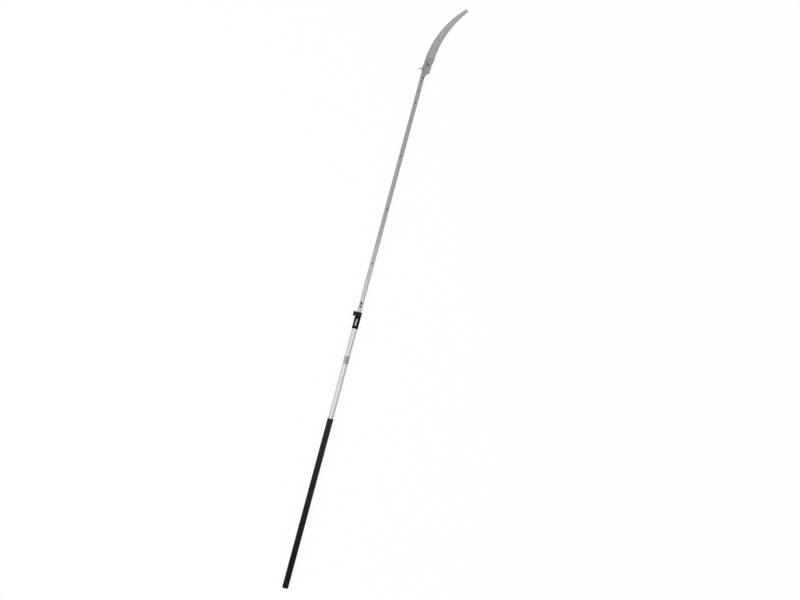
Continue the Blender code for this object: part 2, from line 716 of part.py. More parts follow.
def inner_tube():
    loops = [oval(INNER_RADIUS), oval(INNER_BORE)]
    tube = along_pole("inner_tube", loops, INNER_TUBE_START, INNER_TUBE_END, GREY_ALUMINIUM)
    for step in range(HOLE_STEPS + 1):
        place = FIRST_HOLE + step * HOLE_PITCH
        hole(tube, (0.0, 0.0), HOLE_RADIUS, 0.0, INNER_RADIUS + CUT, start=place)
    for before in TUBE_RIVETS_BEFORE_END:
        through = INNER_RADIUS + CUT
        hole(tube, (0.0, 0.0), RIVET_RADIUS + GAP, -through, through, start=INNER_TUBE_END - before)
    return tube


def slide_bush():
    """Sleeve on the inner tube's lower end, with a flange that closes over the tube's wall."""
    outside = oval(OUTER_BORE - GAP)
    flange_start = INNER_TUBE_START - SLIDE_BUSH_FLANGE
    sleeve_end = INNER_TUBE_START + SLIDE_BUSH_LENGTH
    bush = along_pole("slide_bush", [outside], flange_start, sleeve_end, BUSH_PLASTIC)
    cut(
        bush,
        along_pole("bush_tube_seat", [oval(INNER_RADIUS + GAP)], INNER_TUBE_START - GAP, sleeve_end + CUT),
        along_pole("bush_bore", [oval(INNER_BORE)], flange_start - CUT, sleeve_end),
    )
    return bush


def head_core():
    plug_radius = INNER_BORE - GAP
    plug_start = INNER_TUBE_END - CORE_PLUG
    shoulder = INNER_TUBE_END + GAP
    shoulder_end = shoulder + CORE_SHOULDER
    core = along_pole("head_core", [oval(INNER_RADIUS)], shoulder, shoulder_end, GREY_ALUMINIUM)
    half_width = TONGUE_WIDTH / 2
    half_height = TONGUE_THICKNESS / 2
    middle = (shoulder + shoulder_end) / 2
    tongue_end = INNER_TUBE_END + TONGUE_END
    unite(
        core,
        along_pole("core_plug", [oval(plug_radius)], plug_start, middle),
        box("core_tongue", (middle, tongue_end), (-half_width, half_width), (-half_height, half_height)),
    )
    hollow_end = INNER_TUBE_END - CORE_SOLID_END
    cut(core, along_pole("core_hollow", [oval(plug_radius - CORE_WALL)], plug_start - CUT, hollow_end))
    for before in TUBE_RIVETS_BEFORE_END:
        through = INNER_RADIUS + CUT
        hole(core, (0.0, 0.0), RIVET_RADIUS + GAP, -through, through, start=INNER_TUBE_END - before)
    for side in (-HOLDER_RIVET_Y, HOLDER_RIVET_Y):
        place = (HOLDER_RIVET_X, side)
        hole(core, place, RIVET_RADIUS + GAP, -INNER_RADIUS, INNER_RADIUS, start=INNER_TUBE_END)
    return core


def rivet(name, place, half_grip):
    """A rivet along Z with a domed head at each end of its grip."""
    dome = [
        (RIVET_HEAD_RADIUS * sin(angle), half_grip + RIVET_HEAD * cos(angle))
        for angle in (0.0, radians(30), radians(60), radians(90))
    ]
    upper = dome + [(RIVET_RADIUS, half_grip)]
    lower = [(radius, -height) for radius, height in reversed(upper)]
    return turned(name, upper + lower, place, 20, DARK_STEEL)


def tube_rivets():
    return [
        rivet(f"tube_rivet_{number}", (INNER_TUBE_END - before, 0.0, 0.0), INNER_RADIUS + GAP)
        for number, before in enumerate(TUBE_RIVETS_BEFORE_END, 1)
    ]


def holder_plate(name, side):
    """A pressed plate: its foot lies on the tongue, and it bends in to grip the blade."""
    bend = [
        (PLATE_START - CUT, FOOT_INNER),
        (TONGUE_END, FOOT_INNER),
        (PLATE_BEND_END, PLATE_INNER),
        (PLATE_END + CUT, PLATE_INNER),
        (PLATE_END + CUT, PLATE_OUTER),
        (PLATE_BEND_END, PLATE_OUTER),
        (TONGUE_END, FOOT_OUTER),
        (PLATE_START - CUT, FOOT_OUTER),
    ]
    profile = [(x, side * height) for x, height in bend]
    plate = prism(name, [profile], PLATE_STRIP, (INNER_TUBE_END, 0.0, 0.0), SIDE_ON, HOLDER_STEEL)
    reach = (-FOOT_OUTER - CUT, FOOT_OUTER + CUT)
    blank = upright(name + "_blank", [rounded(HOLDER_CORNERS)], *reach, start=INNER_TUBE_END)
    combine(plate, blank, "INTERSECT")
    for place in BOLT_PLACES:
        hole(plate, place, BOLT_RADIUS + GAP, *reach, start=INNER_TUBE_END)
    for rivet_y in (-HOLDER_RIVET_Y, HOLDER_RIVET_Y):
        hole(plate, (HOLDER_RIVET_X, rivet_y), RIVET_RADIUS + GAP, *reach, start=INNER_TUBE_END)
    hole(plate, HOOK_RIVET, RIVET_RADIUS + GAP, *reach, start=INNER_TUBE_END)
    return plate


def holder_rivets():
    half_grip = FOOT_OUTER + GAP
    x = INNER_TUBE_END + HOLDER_RIVET_X
    return [
        rivet("holder_rivet_1", (x, -HOLDER_RIVET_Y, 0.0), half_grip),
        rivet("holder_rivet_2", (x, HOLDER_RIVET_Y, 0.0), half_grip),
        rivet("hook_rivet", (INNER_TUBE_END + HOOK_RIVET.x, HOOK_RIVET.y, 0.0), PLATE_OUTER + GAP),
    ]


def rise(first, last, radius):
    """Centre and end angles of the arc that rises over two points."""
    half = (last - first) / 2
    down = Vector((half.y, -half.x)).normalized()
    centre = first + half + down * sqrt(radius ** 2 - half.length_squared)
    angles = [atan2(point.y - centre.y, point.x - centre.x) for point in (first, last)]
    return centre, *angles


def tooth_points():
    """The toothed edge, from the heel to the tip; each tooth's steep side faces the pole."""
    centre, first, last = rise(TEETH_START, TEETH_TIP, TOOTH_RADIUS)
    count = round((first - last) * TOOTH_RADIUS / TOOTH_PITCH)
    step = (last - first) / count
    points = []
    for number in range(count):
        for share, depth in ((0.0, TOOTH_DEPTH), (TOOTH_LEAN, 0.0)):
            angle = first + step * (number + share)
            points.append(on_circle(centre, TOOTH_RADIUS + depth, angle))
    return points + [tuple(TEETH_TIP)]


def blade():
    centre, start_angle, tip_angle = rise(BACK_START, BACK_TIP, BACK_RADIUS)
    back = arc(centre, BACK_RADIUS, tip_angle, start_angle, BACK_STEPS)
    tang = rounded([
        (TANG_WIDE, BACK_START.y, 0),
        (TANG_SHOULDER, TANG_LEFT, 0),
        (TANG_START, TANG_LEFT, 0),
        (TANG_START, TANG_RIGHT, 0),
        (HEEL_START, TANG_RIGHT - HEEL_ROUND, 0),
        (HEEL_START, HEEL_SHOULDER, HEEL_ROUND),
        (HEEL_CREST, HEEL_EDGE, HEEL_CREST_ROUND),
        (TEETH_START.x - TOOTH_DEPTH, HEEL_EDGE, 0),
    ])
    half = BLADE_THICKNESS / 2
    plate = upright("blade", [back + tang + tooth_points()], -half, half, BLADE_STEEL, start=INNER_TUBE_END)
    for place in BOLT_PLACES:
        hole(plate, place, BOLT_RADIUS + GAP, -half - CUT, half + CUT, start=INNER_TUBE_END)
    return plate


def hexagon(radius):
    return circle((0.0, 0.0), radius, 6)


def bolt_set(number, place, bolt_steel):
    """A hexagon bolt down through the head, a washer under each end, and its nut."""
    x = INNER_TUBE_END + place.x
    hole_outline = circle((0.0, 0.0), BOLT_RADIUS + GAP, 20)
    washer_low = PLATE_OUTER + GAP
    washer_high = washer_low + WASHER
    head_low = washer_high + GAP
    nut_low = -head_low - NUT
    end = nut_low - BOLT_TAIL
    shank = [
        (0.0, head_low + BOLT_HEAD / 2),
        (BOLT_RADIUS, head_low + BOLT_HEAD / 2),
        (BOLT_RADIUS, end + BOLT_CHAMFER),
        (BOLT_RADIUS - BOLT_CHAMFER, end),
        (0.0, end),
    ]

    def piece(name, loops, low, high, finish=ZINC_STEEL):
        return prism(name, loops, high - low, (x, place.y, (low + high) / 2), FLAT_ON, finish)

    head = [hexagon(BOLT_HEAD_RADIUS)]
    bolt = piece(f"blade_bolt_{number}", head, head_low, head_low + BOLT_HEAD, bolt_steel)
    unite(bolt, turned(f"bolt_shank_{number}", shank, (x, place.y, 0.0), 20, bolt_steel))
    washer = [circle((0.0, 0.0), WASHER_RADIUS, 24), hole_outline]
    return [
        bolt,
        piece(f"front_washer_{number}", washer, washer_low, washer_high),
        piece(f"back_washer_{number}", washer, -washer_high, -washer_low),
        piece(f"blade_nut_{number}", [hexagon(BOLT_HEAD_RADIUS), hole_outline], nut_low, -head_low),
    ]


def branch_hook():
    """Flat hook between the plates; its tip turns down towards the pole."""
    half = HOOK_THICKNESS / 2
    outline = rounded(HOOK_CORNERS)
    hook = upright("branch_hook", [outline], -half, half, HOLDER_STEEL, start=INNER_TUBE_END)
    hole(hook, HOOK_RIVET, RIVET_RADIUS + GAP, -half - CUT, half + CUT, start=INNER_TUBE_END)
    return hook


def lower_section():
    butt_cap()
    grip_sleeve()
    outer_tube()
    info_band()
    mouth_bush()
    lock_body()
    lock_screws()
    lever_pin()
    rocker_pin()
    rocker_spring()
    clamp_pad()
    clamp_lever()
    index_rocker()


def upper_section():
    pieces = [inner_tube(), slide_bush(), head_core(), blade(), branch_hook()]
    pieces += [holder_plate("holder_front", 1), holder_plate("holder_back", -1)]
    pieces += tube_rivets() + holder_rivets()
    for number, (place, steel) in enumerate(zip(BOLT_PLACES, (DARK_STEEL, ZINC_STEEL)), 1):
        pieces += bolt_set(number, place, steel)
    follow("telescope_slide", (FIRST_HOLE, 0.0, 0.0), pieces)


lower_section()
upper_section()
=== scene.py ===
"""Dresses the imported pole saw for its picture: finished meshes, their materials and a studio."""

from math import atan2, cos, pi, radians, sin, sqrt, tan

import bmesh
import bpy
from bpy.props import FloatProperty, FloatVectorProperty, PointerProperty
from bpy.types import Operator, Panel, PropertyGroup
from mathutils import Matrix, Vector


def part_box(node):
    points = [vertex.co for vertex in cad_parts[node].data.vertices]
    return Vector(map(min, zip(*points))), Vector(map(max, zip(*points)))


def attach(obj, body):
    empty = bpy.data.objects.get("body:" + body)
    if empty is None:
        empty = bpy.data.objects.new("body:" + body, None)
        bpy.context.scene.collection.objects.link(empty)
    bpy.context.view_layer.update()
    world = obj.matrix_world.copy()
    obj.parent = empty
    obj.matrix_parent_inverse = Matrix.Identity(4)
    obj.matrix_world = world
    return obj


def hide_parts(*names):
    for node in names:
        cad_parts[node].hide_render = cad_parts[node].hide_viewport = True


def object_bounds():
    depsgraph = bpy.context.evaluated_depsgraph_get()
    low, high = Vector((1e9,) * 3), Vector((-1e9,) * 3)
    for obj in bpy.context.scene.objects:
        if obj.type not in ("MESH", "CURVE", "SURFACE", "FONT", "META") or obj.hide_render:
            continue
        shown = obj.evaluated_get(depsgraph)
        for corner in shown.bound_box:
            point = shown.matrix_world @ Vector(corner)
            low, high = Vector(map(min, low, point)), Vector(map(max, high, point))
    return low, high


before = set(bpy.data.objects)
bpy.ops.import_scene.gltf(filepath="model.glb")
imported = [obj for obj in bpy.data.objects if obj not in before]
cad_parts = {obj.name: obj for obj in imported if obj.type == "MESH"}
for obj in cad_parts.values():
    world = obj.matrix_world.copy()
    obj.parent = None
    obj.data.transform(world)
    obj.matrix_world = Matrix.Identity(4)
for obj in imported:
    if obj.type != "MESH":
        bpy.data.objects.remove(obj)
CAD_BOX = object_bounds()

bl_info = {
    "name": "Pole Saw Looks",
    "version": (1, 0, 0),
    "blender": (4, 5, 0),
    "location": "3D View > Sidebar > Pole Saw",
    "description": "Finished surfaces of a two-section pole saw, and its studio",
    "category": "Object",
}

LONG_WAYS = Vector((1.0, 0.0, 0.0))
ACROSS = Vector((0.0, 1.0, 0.0))
UPWARDS = Vector((0.0, 0.0, 1.0))
WHOLE_TURN = 2 * pi
# HAIR is too small to show, SKIN keeps fitted pieces apart, PAST is how far a cutting tool overshoots
HAIR = 0.00001
SKIN = 0.0002
PAST = 0.002


# Places taken from the frame

class Span:
    """Where a node of the frame lies: its ends, its middle and its half sizes."""

    def __init__(self, node):
        self.low, self.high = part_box(node)
        self.middle = (self.low + self.high) / 2
        self.half = (self.high - self.low) / 2


class OvalSpan(Span):
    """A tube-like node: two half circles drawn apart across the pole."""

    def __init__(self, node):
        super().__init__(node)
        self.radius = self.half.z
        self.flat = self.half.y - self.half.z
        self.start, self.end = self.low.x, self.high.x


OUTER = OvalSpan("outer_tube")
INNER = OvalSpan("inner_tube")
GRIP = OvalSpan("grip_sleeve")
LOCK = Span("lock_body")
ROCKER = Span("index_rocker")
ROCKER_PANEL = Span("rocker_panel")
INDEX_PIN = Span("index_pin")
ROCKER_PIN = Span("rocker_pin")
LEVER_PIN = Span("lever_pin")
LEVER = Span("clamp_lever")
HEAD = INNER.end
TUBE_WALL = 0.0014
OUTER_BORE = OUTER.radius - TUBE_WALL
INNER_BORE = INNER.radius - TUBE_WALL
FIRST_INDEX_HOLE, INDEX_PITCH, INDEX_COUNT = 1.674, 0.35, 5
INDEX_HOLES = [FIRST_INDEX_HOLE + INDEX_PITCH * step for step in range(INDEX_COUNT)]
INDEX_HOLE_RADIUS = 0.00425


# Shapes

PIN_CHAMFER = 0.0003


def rounded_face(corners, steps=8):
    """A flat face whose corners, given as (x, y, radius), are rounded."""
    shape = bmesh.new()
    points = [shape.verts.new((x, y, 0.0)) for x, y, _ in corners]
    shape.faces.new(points)
    count = len(corners)
    for number, (x, y, radius) in enumerate(corners):
        if not radius:
            continue
        here = Vector((x, y))
        before = Vector(corners[number - 1][:2]) - here
        after = Vector(corners[(number + 1) % count][:2]) - here
        bmesh.ops.bevel(
            shape,
            geom=[points[number]],
            offset=radius / tan(before.angle(after) / 2),
            affect="VERTICES",
            segments=steps,
            profile=0.5,
            material=-1,
        )
    return shape


def slab(corners, low, high, steps=8):
    """A plate with rounded corners, its faces at heights low and high."""
    shape = rounded_face(corners, steps)
    bmesh.ops.translate(shape, verts=shape.verts[:], vec=UPWARDS * low)
    grown = bmesh.ops.extrude_face_region(shape, geom=shape.faces[:])
    risen = [item for item in grown["geom"] if isinstance(item, bmesh.types.BMVert)]
    bmesh.ops.translate(shape, verts=risen, vec=UPWARDS * (high - low))
    bmesh.ops.recalc_face_normals(shape, faces=shape.faces[:])
    return shape


def seen_from_above(span, beyond, radius):
    """Rounded corners of a node's outline from above, moved a little way outwards."""
    left, right = span.low.x - beyond, span.high.x + beyond
    near, far = span.low.y - beyond, span.high.y + beyond
    return [(left, near, radius), (right, near, radius), (right, far, radius), (left, far, radius)]


def arc_corners(middle, radius, start, end, steps):
    """Sharp corners along an arc, for a face's outline; angles in degrees."""
    turns = [radians(start + (end - start) * step / steps) for step in range(steps + 1)]
    return [(middle.x + radius * cos(turn), middle.y + radius * sin(turn), 0.0) for turn in turns]


def sliced_across(shape, x):
    """Gives a shape an edge all round at a place along the pole."""
    everything = shape.verts[:] + shape.edges[:] + shape.faces[:]
    bmesh.ops.bisect_plane(
        shape, geom=everything, plane_co=(x, 0.0, 0.0), plane_no=LONG_WAYS, dist=HAIR / 10
    )


def stood_across(shape):
    """Turns a shape drawn in X and Y so that it stands across the pole and its height runs along it."""
    turn = Matrix.Rotation(pi / 2, 4, "Z") @ Matrix.Rotation(pi / 2, 4, "X")
    bmesh.ops.transform(shape, matrix=turn, verts=shape.verts[:])
    return shape


def stood_side_on(shape):
    """Turns a shape drawn in X and Y so that it is drawn in X and Z."""
    bmesh.ops.transform(shape, matrix=Matrix.Rotation(pi / 2, 4, "X"), verts=shape.verts[:])
    bmesh.ops.recalc_face_normals(shape, faces=shape.faces[:])
    return shape


def bar(x, y, z):
    """A block between pairs of ends."""
    shape = bmesh.new()
    size = Vector((x[1] - x[0], y[1] - y[0], z[1] - z[0]))
    middle = Vector((x[1] + x[0], y[1] + y[0], z[1] + z[0])) / 2
    place = Matrix.Translation(middle) @ Matrix.Diagonal((*size, 1.0))
    bmesh.ops.create_cube(shape, size=1.0, matrix=place)
    return shape


def turned(profile, middle, axis=UPWARDS, steps=40):
    """A profile of (radius, distance along the axis) turned about an axis through a place."""
    shape = bmesh.new()
    points = [shape.verts.new((radius, 0.0, along)) for radius, along in profile]
    for first, second in zip(points, points[1:]):
        shape.edges.new((first, second))
    bmesh.ops.spin(
        shape,
        geom=shape.verts[:] + shape.edges[:],
        cent=(0.0, 0.0, 0.0),
        axis=UPWARDS,
        angle=WHOLE_TURN,
        steps=steps,
        use_merge=True,
    )
    bmesh.ops.remove_doubles(shape, verts=shape.verts[:], dist=HAIR / 10)
    bmesh.ops.recalc_face_normals(shape, faces=shape.faces[:])
    turn = UPWARDS.rotation_difference(axis).to_matrix().to_4x4()
    bmesh.ops.transform(shape, matrix=Matrix.Translation(middle) @ turn, verts=shape.verts[:])
    return shape


def rod(radius, low, high, middle=(0.0, 0.0, 0.0), axis=UPWARDS, steps=40):
    """A plain round rod, for pins and for cutting holes."""
    return turned([(0.0, low), (radius, low), (radius, high), (0.0, high)], middle, axis, steps)


def chamfered_pin(radius, low, high, middle, axis):
    """A round pin with both its ends chamfered."""
    edge, cut = radius - PIN_CHAMFER, PIN_CHAMFER
    profile = [(0.0, low), (edge, low), (radius, low + cut), (radius, high - cut), (edge, high), (0.0, high)]
    return turned(profile, middle, axis, 28)


def quarter_round(steps):
    """Points of a quarter circle from the top of a dome to its rim, as (share out, share up)."""
    turns = [pi / 2 * step / steps for step in range(steps + 1)]
    return [(sin(turn), cos(turn)) for turn in turns]


def oval_turned(profile, flat, steps=96, closed=True):
    """A profile of (distance along the pole, radius) turned about the pole, its halves then moved apart."""
    shape = bmesh.new()
    points = [shape.verts.new((along, 0.0, radius)) for along, radius in profile]
    pairs = list(zip(points, points[1:]))
    if closed:
        pairs.append((points[-1], points[0]))
    for pair in pairs:
        shape.edges.new(pair)
    half_step = Matrix.Rotation(pi / steps, 4, "X")
    bmesh.ops.transform(shape, matrix=half_step, verts=shape.verts[:])
    bmesh.ops.spin(
        shape,
        geom=shape.verts[:] + shape.edges[:],
        cent=(0.0, 0.0, 0.0),
        axis=LONG_WAYS,
        angle=WHOLE_TURN,
        steps=steps,
        use_merge=True,
    )
    bmesh.ops.remove_doubles(shape, verts=shape.verts[:], dist=HAIR / 10)
    for side in (-1, 1):
        half = [vert for vert in shape.verts if vert.co.y * side > 0]
        bmesh.ops.translate(shape, verts=half, vec=ACROSS * side * flat)
    if not closed:
        rims = [edge for edge in shape.edges if edge.is_boundary]
        bmesh.ops.holes_fill(shape, edges=rims, sides=0)
    bmesh.ops.recalc_face_normals(shape, faces=shape.faces[:])
    return shape


def tube(start, end, outside, bore, flat, stations=(), steps=96):
    """An oval tube; stations are places along it that get an edge of their own."""
    along = [start, *sorted(stations), end]
    profile = [(x, outside) for x in along] + [(x, bore) for x in reversed(along)]
    return oval_turned(profile, flat, steps)


def tube_plug(start, end, radius):
    """A solid oval, for cutting a tube's way."""
    core = radius * 0.01
    profile = [(start, core), (start, radius), (end, radius), (end, core)]
    return oval_turned(profile, OUTER.flat, closed=False)


def to_object(name, shape):
    """An object in the scene that takes the shape over."""
    mesh = bpy.data.meshes.new(name)
    shape.to_mesh(mesh)
    shape.free()
    made = bpy.data.objects.new(name, mesh)
    bpy.context.scene.collection.objects.link(made)
    return made


def combined(shape, tools, operation="DIFFERENCE"):
    """One shape after solid tools are cut from it, joined to it or kept in common with it."""
    work = to_object("work_in_hand", shape)
    helpers = []
    for number, tool in enumerate(tools):
        helper = to_object(f"work_tool_{number}", tool)
        change = work.modifiers.new("change", "BOOLEAN")
        change.operation = operation
        change.solver = "EXACT"
        change.object = helper
        helpers.append(helper)
    bpy.context.view_layer.update()
    finished = work.evaluated_get(bpy.context.evaluated_depsgraph_get())
    result = bmesh.new()
    result.from_mesh(finished.to_mesh())
    finished.to_mesh_clear()
    for spent in [work, *helpers]:
        mesh = spent.data
        bpy.data.objects.remove(spent)
        bpy.data.meshes.remove(mesh)
    bmesh.ops.remove_doubles(result, verts=result.verts[:], dist=HAIR / 2)
    return result


def joined(shapes):
    """Several shapes as one mesh, each keeping its own skin."""
    whole = bmesh.new()
    for shape in shapes:
        mesh = bpy.data.meshes.new("passing")
        shape.to_mesh(mesh)
        shape.free()
        whole.from_mesh(mesh)
        bpy.data.meshes.remove(mesh)
    return whole


def piece(name, shape, finishes, body, slot, replaced=(), edge=0.0, edge_steps=2, edge_angle=32):
    """Makes a finished piece: smoothed, edges softened, its finishes, its body and the nodes it replaces."""
    for face in shape.faces:
        face.smooth = True
    for seam in shape.edges:
        if len(seam.link_faces) == 2 and seam.calc_face_angle(0.0) > radians(edge_angle):
            seam.smooth = bool(edge)
    made = to_object(name, shape)
    for finish in finishes:
        made.data.materials.append(finish)
    if edge:
        soften = made.modifiers.new("softened edges", "BEVEL")
        soften.limit_method = "ANGLE"
        soften.angle_limit = radians(edge_angle)
        soften.width = edge
        soften.segments = edge_steps
        soften.use_clamp_overlap = False
        soften.harden_normals = True
        soften.miter_outer = "MITER_ARC"
        if len(finishes) > 1:
            soften.material = 1
    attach(made, body)
    if replaced:
        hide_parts(*replaced)
    return made


# Finishes

WHITE_RAYS = ("Is Camera Ray", "Is Glossy Ray", "Is Transmission Ray")
WHITE_SHARE = {"ShaderNodeEmission": 0.94, "ShaderNodeBackground": 1.0}
# Painted shade inside a tube's bore
PAINTED_BORE_SHADE = (0.02, 0.02, 0.02)
PRINT_BLACK = (0.010, 0.010, 0.010)
# Painted shade down one side of the lower tube: where across it the shade starts and where it is full
PAINTED_SHADE_ACROSS = (-0.004, -0.010)
# Painted light along the upper tube: where it fades out and where it is full, near the lock
PAINTED_LIGHT_ALONG = (2.45, 1.62)
MARKS_ASIDE = 0.0008
BAR_MIDDLE, BAR_HALF_LENGTH, BAR_HALF_WIDTH = 1.7692, 0.0094, 0.0056
ARROW_TIP, ARROW_LENGTH = 1.7335, 0.0205
ARROW_TIP_HALF, ARROW_SPREAD = 0.0008, 0.0056


class Amount:
    """A number that varies over a surface, used in plain arithmetic; each step adds its Math node."""

    def __init__(self, finish, socket):
        self.finish = finish
        self.socket = socket

    def join(self, operation, *values):
        """The result of one Math node, fed with numbers or other amounts."""
        return self.finish.node("ShaderNodeMath", {"operation": operation}, dict(enumerate(values)))

    def __add__(self, other):
        return self.join("ADD", self, other)

    def __radd__(self, other):
        return self.join("ADD", other, self)

    def __sub__(self, other):
        return self.join("SUBTRACT", self, other)

    def __rsub__(self, other):
        return self.join("SUBTRACT", other, self)

    def __mul__(self, other):
        return self.join("MULTIPLY", self, other)

    def __rmul__(self, other):
        return self.join("MULTIPLY", other, self)

    def __truediv__(self, other):
        return self.join("DIVIDE", self, other)

    def __rtruediv__(self, other):
        return self.join("DIVIDE", other, self)

    def __abs__(self):
        return self.join("ABSOLUTE", self)

    def root(self):
        """The square root, from a Math node of its own."""
        return self.join("SQRT", self)

    def rising(self, low, high):
        """0 up to low, 1 from high on, smooth between; with high below low it falls instead."""
        settings = {"interpolation_type": "SMOOTHSTEP"}
        return self.finish.node("ShaderNodeMapRange", settings, {0: self, 1: low, 2: high, 3: 0.0, 4: 1.0})


class Nodes:
    """A node tree that is emptied, then filled by one call for each node."""

    def __init__(self, tree):
        self.tree = tree
        tree.nodes.clear()

    def node(self, kind, settings=None, values=None, output=0):
        """Adds a node, sets or links its inputs, and returns one of its outputs."""
        made = self.tree.nodes.new(kind)
        for key, value in (settings or {}).items():
            setattr(made, key, value)
        for key, value in (values or {}).items():
            if isinstance(value, Amount):
                self.tree.links.new(value.socket, made.inputs[key])
            else:
                made.inputs[key].default_value = value
        return Amount(self, made.outputs[output])

    def seen_white(self, kind, shader):
        """The shader, but white light wherever the camera, gloss or glass sees it, for a white backdrop."""
        seen = [self.node("ShaderNodeLightPath", output=name) for name in WHITE_RAYS]
        any_of_them = seen[0].join("MAXIMUM", seen[0], seen[1].join("MAXIMUM", seen[1], seen[2]))
        white = self.node(kind, values={"Color": (1.0, 1.0, 1.0, 1.0), "Strength": 1.0})
        share = any_of_them * WHITE_SHARE[kind]
        return self.node("ShaderNodeMixShader", values={0: share, 1: shader, 2: white})

    def end(self, kind, shader):
        """Ends the tree in an output node that the shader feeds."""
        self.tree.links.new(shader.socket, self.tree.nodes.new(kind).inputs["Surface"])


class Finish(Nodes):
    """A procedural material on the piece's own coordinates, in metres."""

    def __init__(self, name):
        self.material = bpy.data.materials.new(name)
        self.material.use_nodes = True
        super().__init__(self.material.node_tree)
        self.place = self.node("ShaderNodeTexCoord", output="Object")
        split = self.node("ShaderNodeSeparateXYZ", values={0: self.place}).socket.node
        self.x, self.y, self.z = (Amount(self, split.outputs[number]) for number in range(3))

    def vector(self, x, y, z):
        """Three amounts as one vector."""
        return self.node("ShaderNodeCombineXYZ", values={0: x, 1: y, 2: z})

    def noise(self, scale, detail=2.0, roughness=0.5, where=None):
        """Noise with scale patches to the metre; a vector scale stretches it."""
        where = where or self.place
        if isinstance(scale, tuple):
            where = self.node("ShaderNodeMapping", values={"Vector": where, "Scale": scale})
            scale = 1.0
        values = {"Vector": where, "Scale": scale, "Detail": detail, "Roughness": roughness}
        return self.node("ShaderNodeTexNoise", values=values)

    def cells(self, scale):
        """Distance from the middle of the nearest cell, with scale cells to the metre."""
        return self.node("ShaderNodeTexVoronoi", values={"Vector": self.place, "Scale": scale})

    def mix(self, factor, first, second):
        """A colour between two, either of them plain or itself mixed."""
        first, second = (item if isinstance(item, Amount) else (*item, 1.0) for item in (first, second))
        return self.node("ShaderNodeMix", {"data_type": "RGBA"}, {0: factor, 6: first, 7: second}, output=2)

    def bump(self, height, depth, strength):
        """A normal for a height from 0 to 1 that stands depth metres high."""
        values = {"Strength": strength, "Distance": depth, "Height": height}
        return self.node("ShaderNodeBump", values=values)

    def surface(self, values):
        """Ends the material in the main shader and returns it."""
        self.end("ShaderNodeOutputMaterial", self.node("ShaderNodeBsdfPrincipled", values=values))
        return self.material

    def distance(self, centre):
        """Distance from a place, seen from above."""
        aside, along = self.y - centre.y, self.x - centre.x
        return (aside * aside + along * along).root()

    def inside(self, span):
        """1 within an oval tube's wall, 0 on its outside and its ends' rims."""
        aside = abs(self.y) - span.flat
        aside = aside.join("MAXIMUM", aside, 0.0)
        return (aside * aside + self.z * self.z).root().rising(span.radius - 0.0003, span.radius - 0.0007)


def toned(colour, share):
    """A colour made darker by a share below 1, or paler by one above it."""
    return tuple(channel * share for channel in colour)


def grip_rubber(colour):
    """Soft black rubber: a pebbled skin, mottled where hands have rubbed it."""
    finish = Finish("grip_rubber_finish")
    mottle = finish.noise(70.0, 4.0, 0.6)
    patches = finish.noise(14.0, 3.0, 0.55)
    pebbles = finish.cells(1100.0)
    grain = finish.noise(2600.0, 2.0)
    worn = mottle.rising(0.48, 0.68) * (0.45 + 0.55 * patches)
    faded = finish.x.rising(0.05, 1.15)
    tone = finish.mix(worn, toned(colour, 0.6), toned(colour, 1.8))
    return finish.surface({
        "Base Color": finish.mix(faded, tone, toned(colour, 1.85)),
        "Roughness": 0.66 + 0.2 * patches - 0.12 * worn,
        "Specular IOR Level": 0.08,
        "Normal": finish.bump(pebbles * 0.7 + grain * 0.3, 0.00016, 0.8),
    })


def drawn_aluminium(name, colour, rubbed, span, marks=None, painted_shade=0.0):
    """Satin anodised tube: fine lines drawn along it, faint cloudiness, rubbed lines, and a bore painted near
    black as painted shade.

    A tube with marks is painted paler towards the lock, as painted light; a tube given a share of side shade
    is painted greyer down one side, as painted shade.
    """
    finish = Finish(name)
    lines = finish.noise((5.0, 1500.0, 1500.0), 3.0, 0.6)
    fine = finish.noise((60.0, 6000.0, 6000.0), 2.0)
    clouds = finish.noise(11.0, 4.0, 0.55)
    specks = finish.noise(420.0, 2.0)
    scuffs = finish.noise((14.0, 700.0, 700.0), 2.0, 0.5).rising(0.63, 0.70) * rubbed
    tone = finish.mix(clouds, toned(colour, 0.95), toned(colour, 1.05))
    tone = finish.mix(lines.rising(0.35, 0.65) * 0.35, tone, toned(colour, 0.90))
    tone = finish.mix(scuffs * 0.3, tone, toned(colour, 1.18))
    tone = finish.mix(specks.rising(0.72, 0.78) * 0.3, tone, toned(colour, 0.7))
    # Painted shade: one side of the tube painted greyer, the side away from the lamps
    if painted_shade:
        tone = finish.mix(finish.y.rising(*PAINTED_SHADE_ACROSS) * painted_shade, tone, toned(colour, 0.65))
    rough = 0.27 + 0.08 * clouds + 0.08 * lines - 0.06 * scuffs
    # Painted shade: the bore is painted near black and not metallic, for the shade inside the tube
    bore = finish.inside(span)
    tone = finish.mix(bore, tone, PAINTED_BORE_SHADE)
    bare = 1.0 - bore
    if marks:
        # Painted light: the tube painted paler near the lock, fading towards the head
        painted_light = finish.x.rising(*PAINTED_LIGHT_ALONG)
        tone = finish.mix(painted_light * 0.8, tone, toned(colour, 1.56))
        printed = marks(finish)
        tone = finish.mix(printed, tone, PRINT_BLACK)
        bare = bare * (1.0 - printed)
    return finish.surface({
        "Base Color": tone,
        "Metallic": bare,
        "Roughness": rough * bare + 0.6 * (1.0 - bare),
        "Normal": finish.bump(lines * 0.6 + fine * 0.4, 0.00002, 0.5),
    })


def stop_marks(finish):
    """A short bar and an arrowhead printed along the upper tube, worn thin in places."""
    wear = finish.noise(600.0, 3.0).rising(0.22, 0.34)
    front = finish.z.rising(0.0, 0.001)
    reach = abs(finish.y - MARKS_ASIDE)
    strip = abs(finish.x - BAR_MIDDLE).rising(BAR_HALF_LENGTH, BAR_HALF_LENGTH - 0.0006)
    strip = strip * reach.rising(BAR_HALF_WIDTH, BAR_HALF_WIDTH - 0.0004)
    along = (finish.x - ARROW_TIP) / ARROW_LENGTH
    arrow = (ARROW_TIP_HALF + ARROW_SPREAD * along - reach).rising(0.0, 0.0004)
    arrow = arrow * along.rising(1.02, 0.98) * along.rising(-0.02, 0.02)
    return (strip + arrow * 0.95) * front * wear


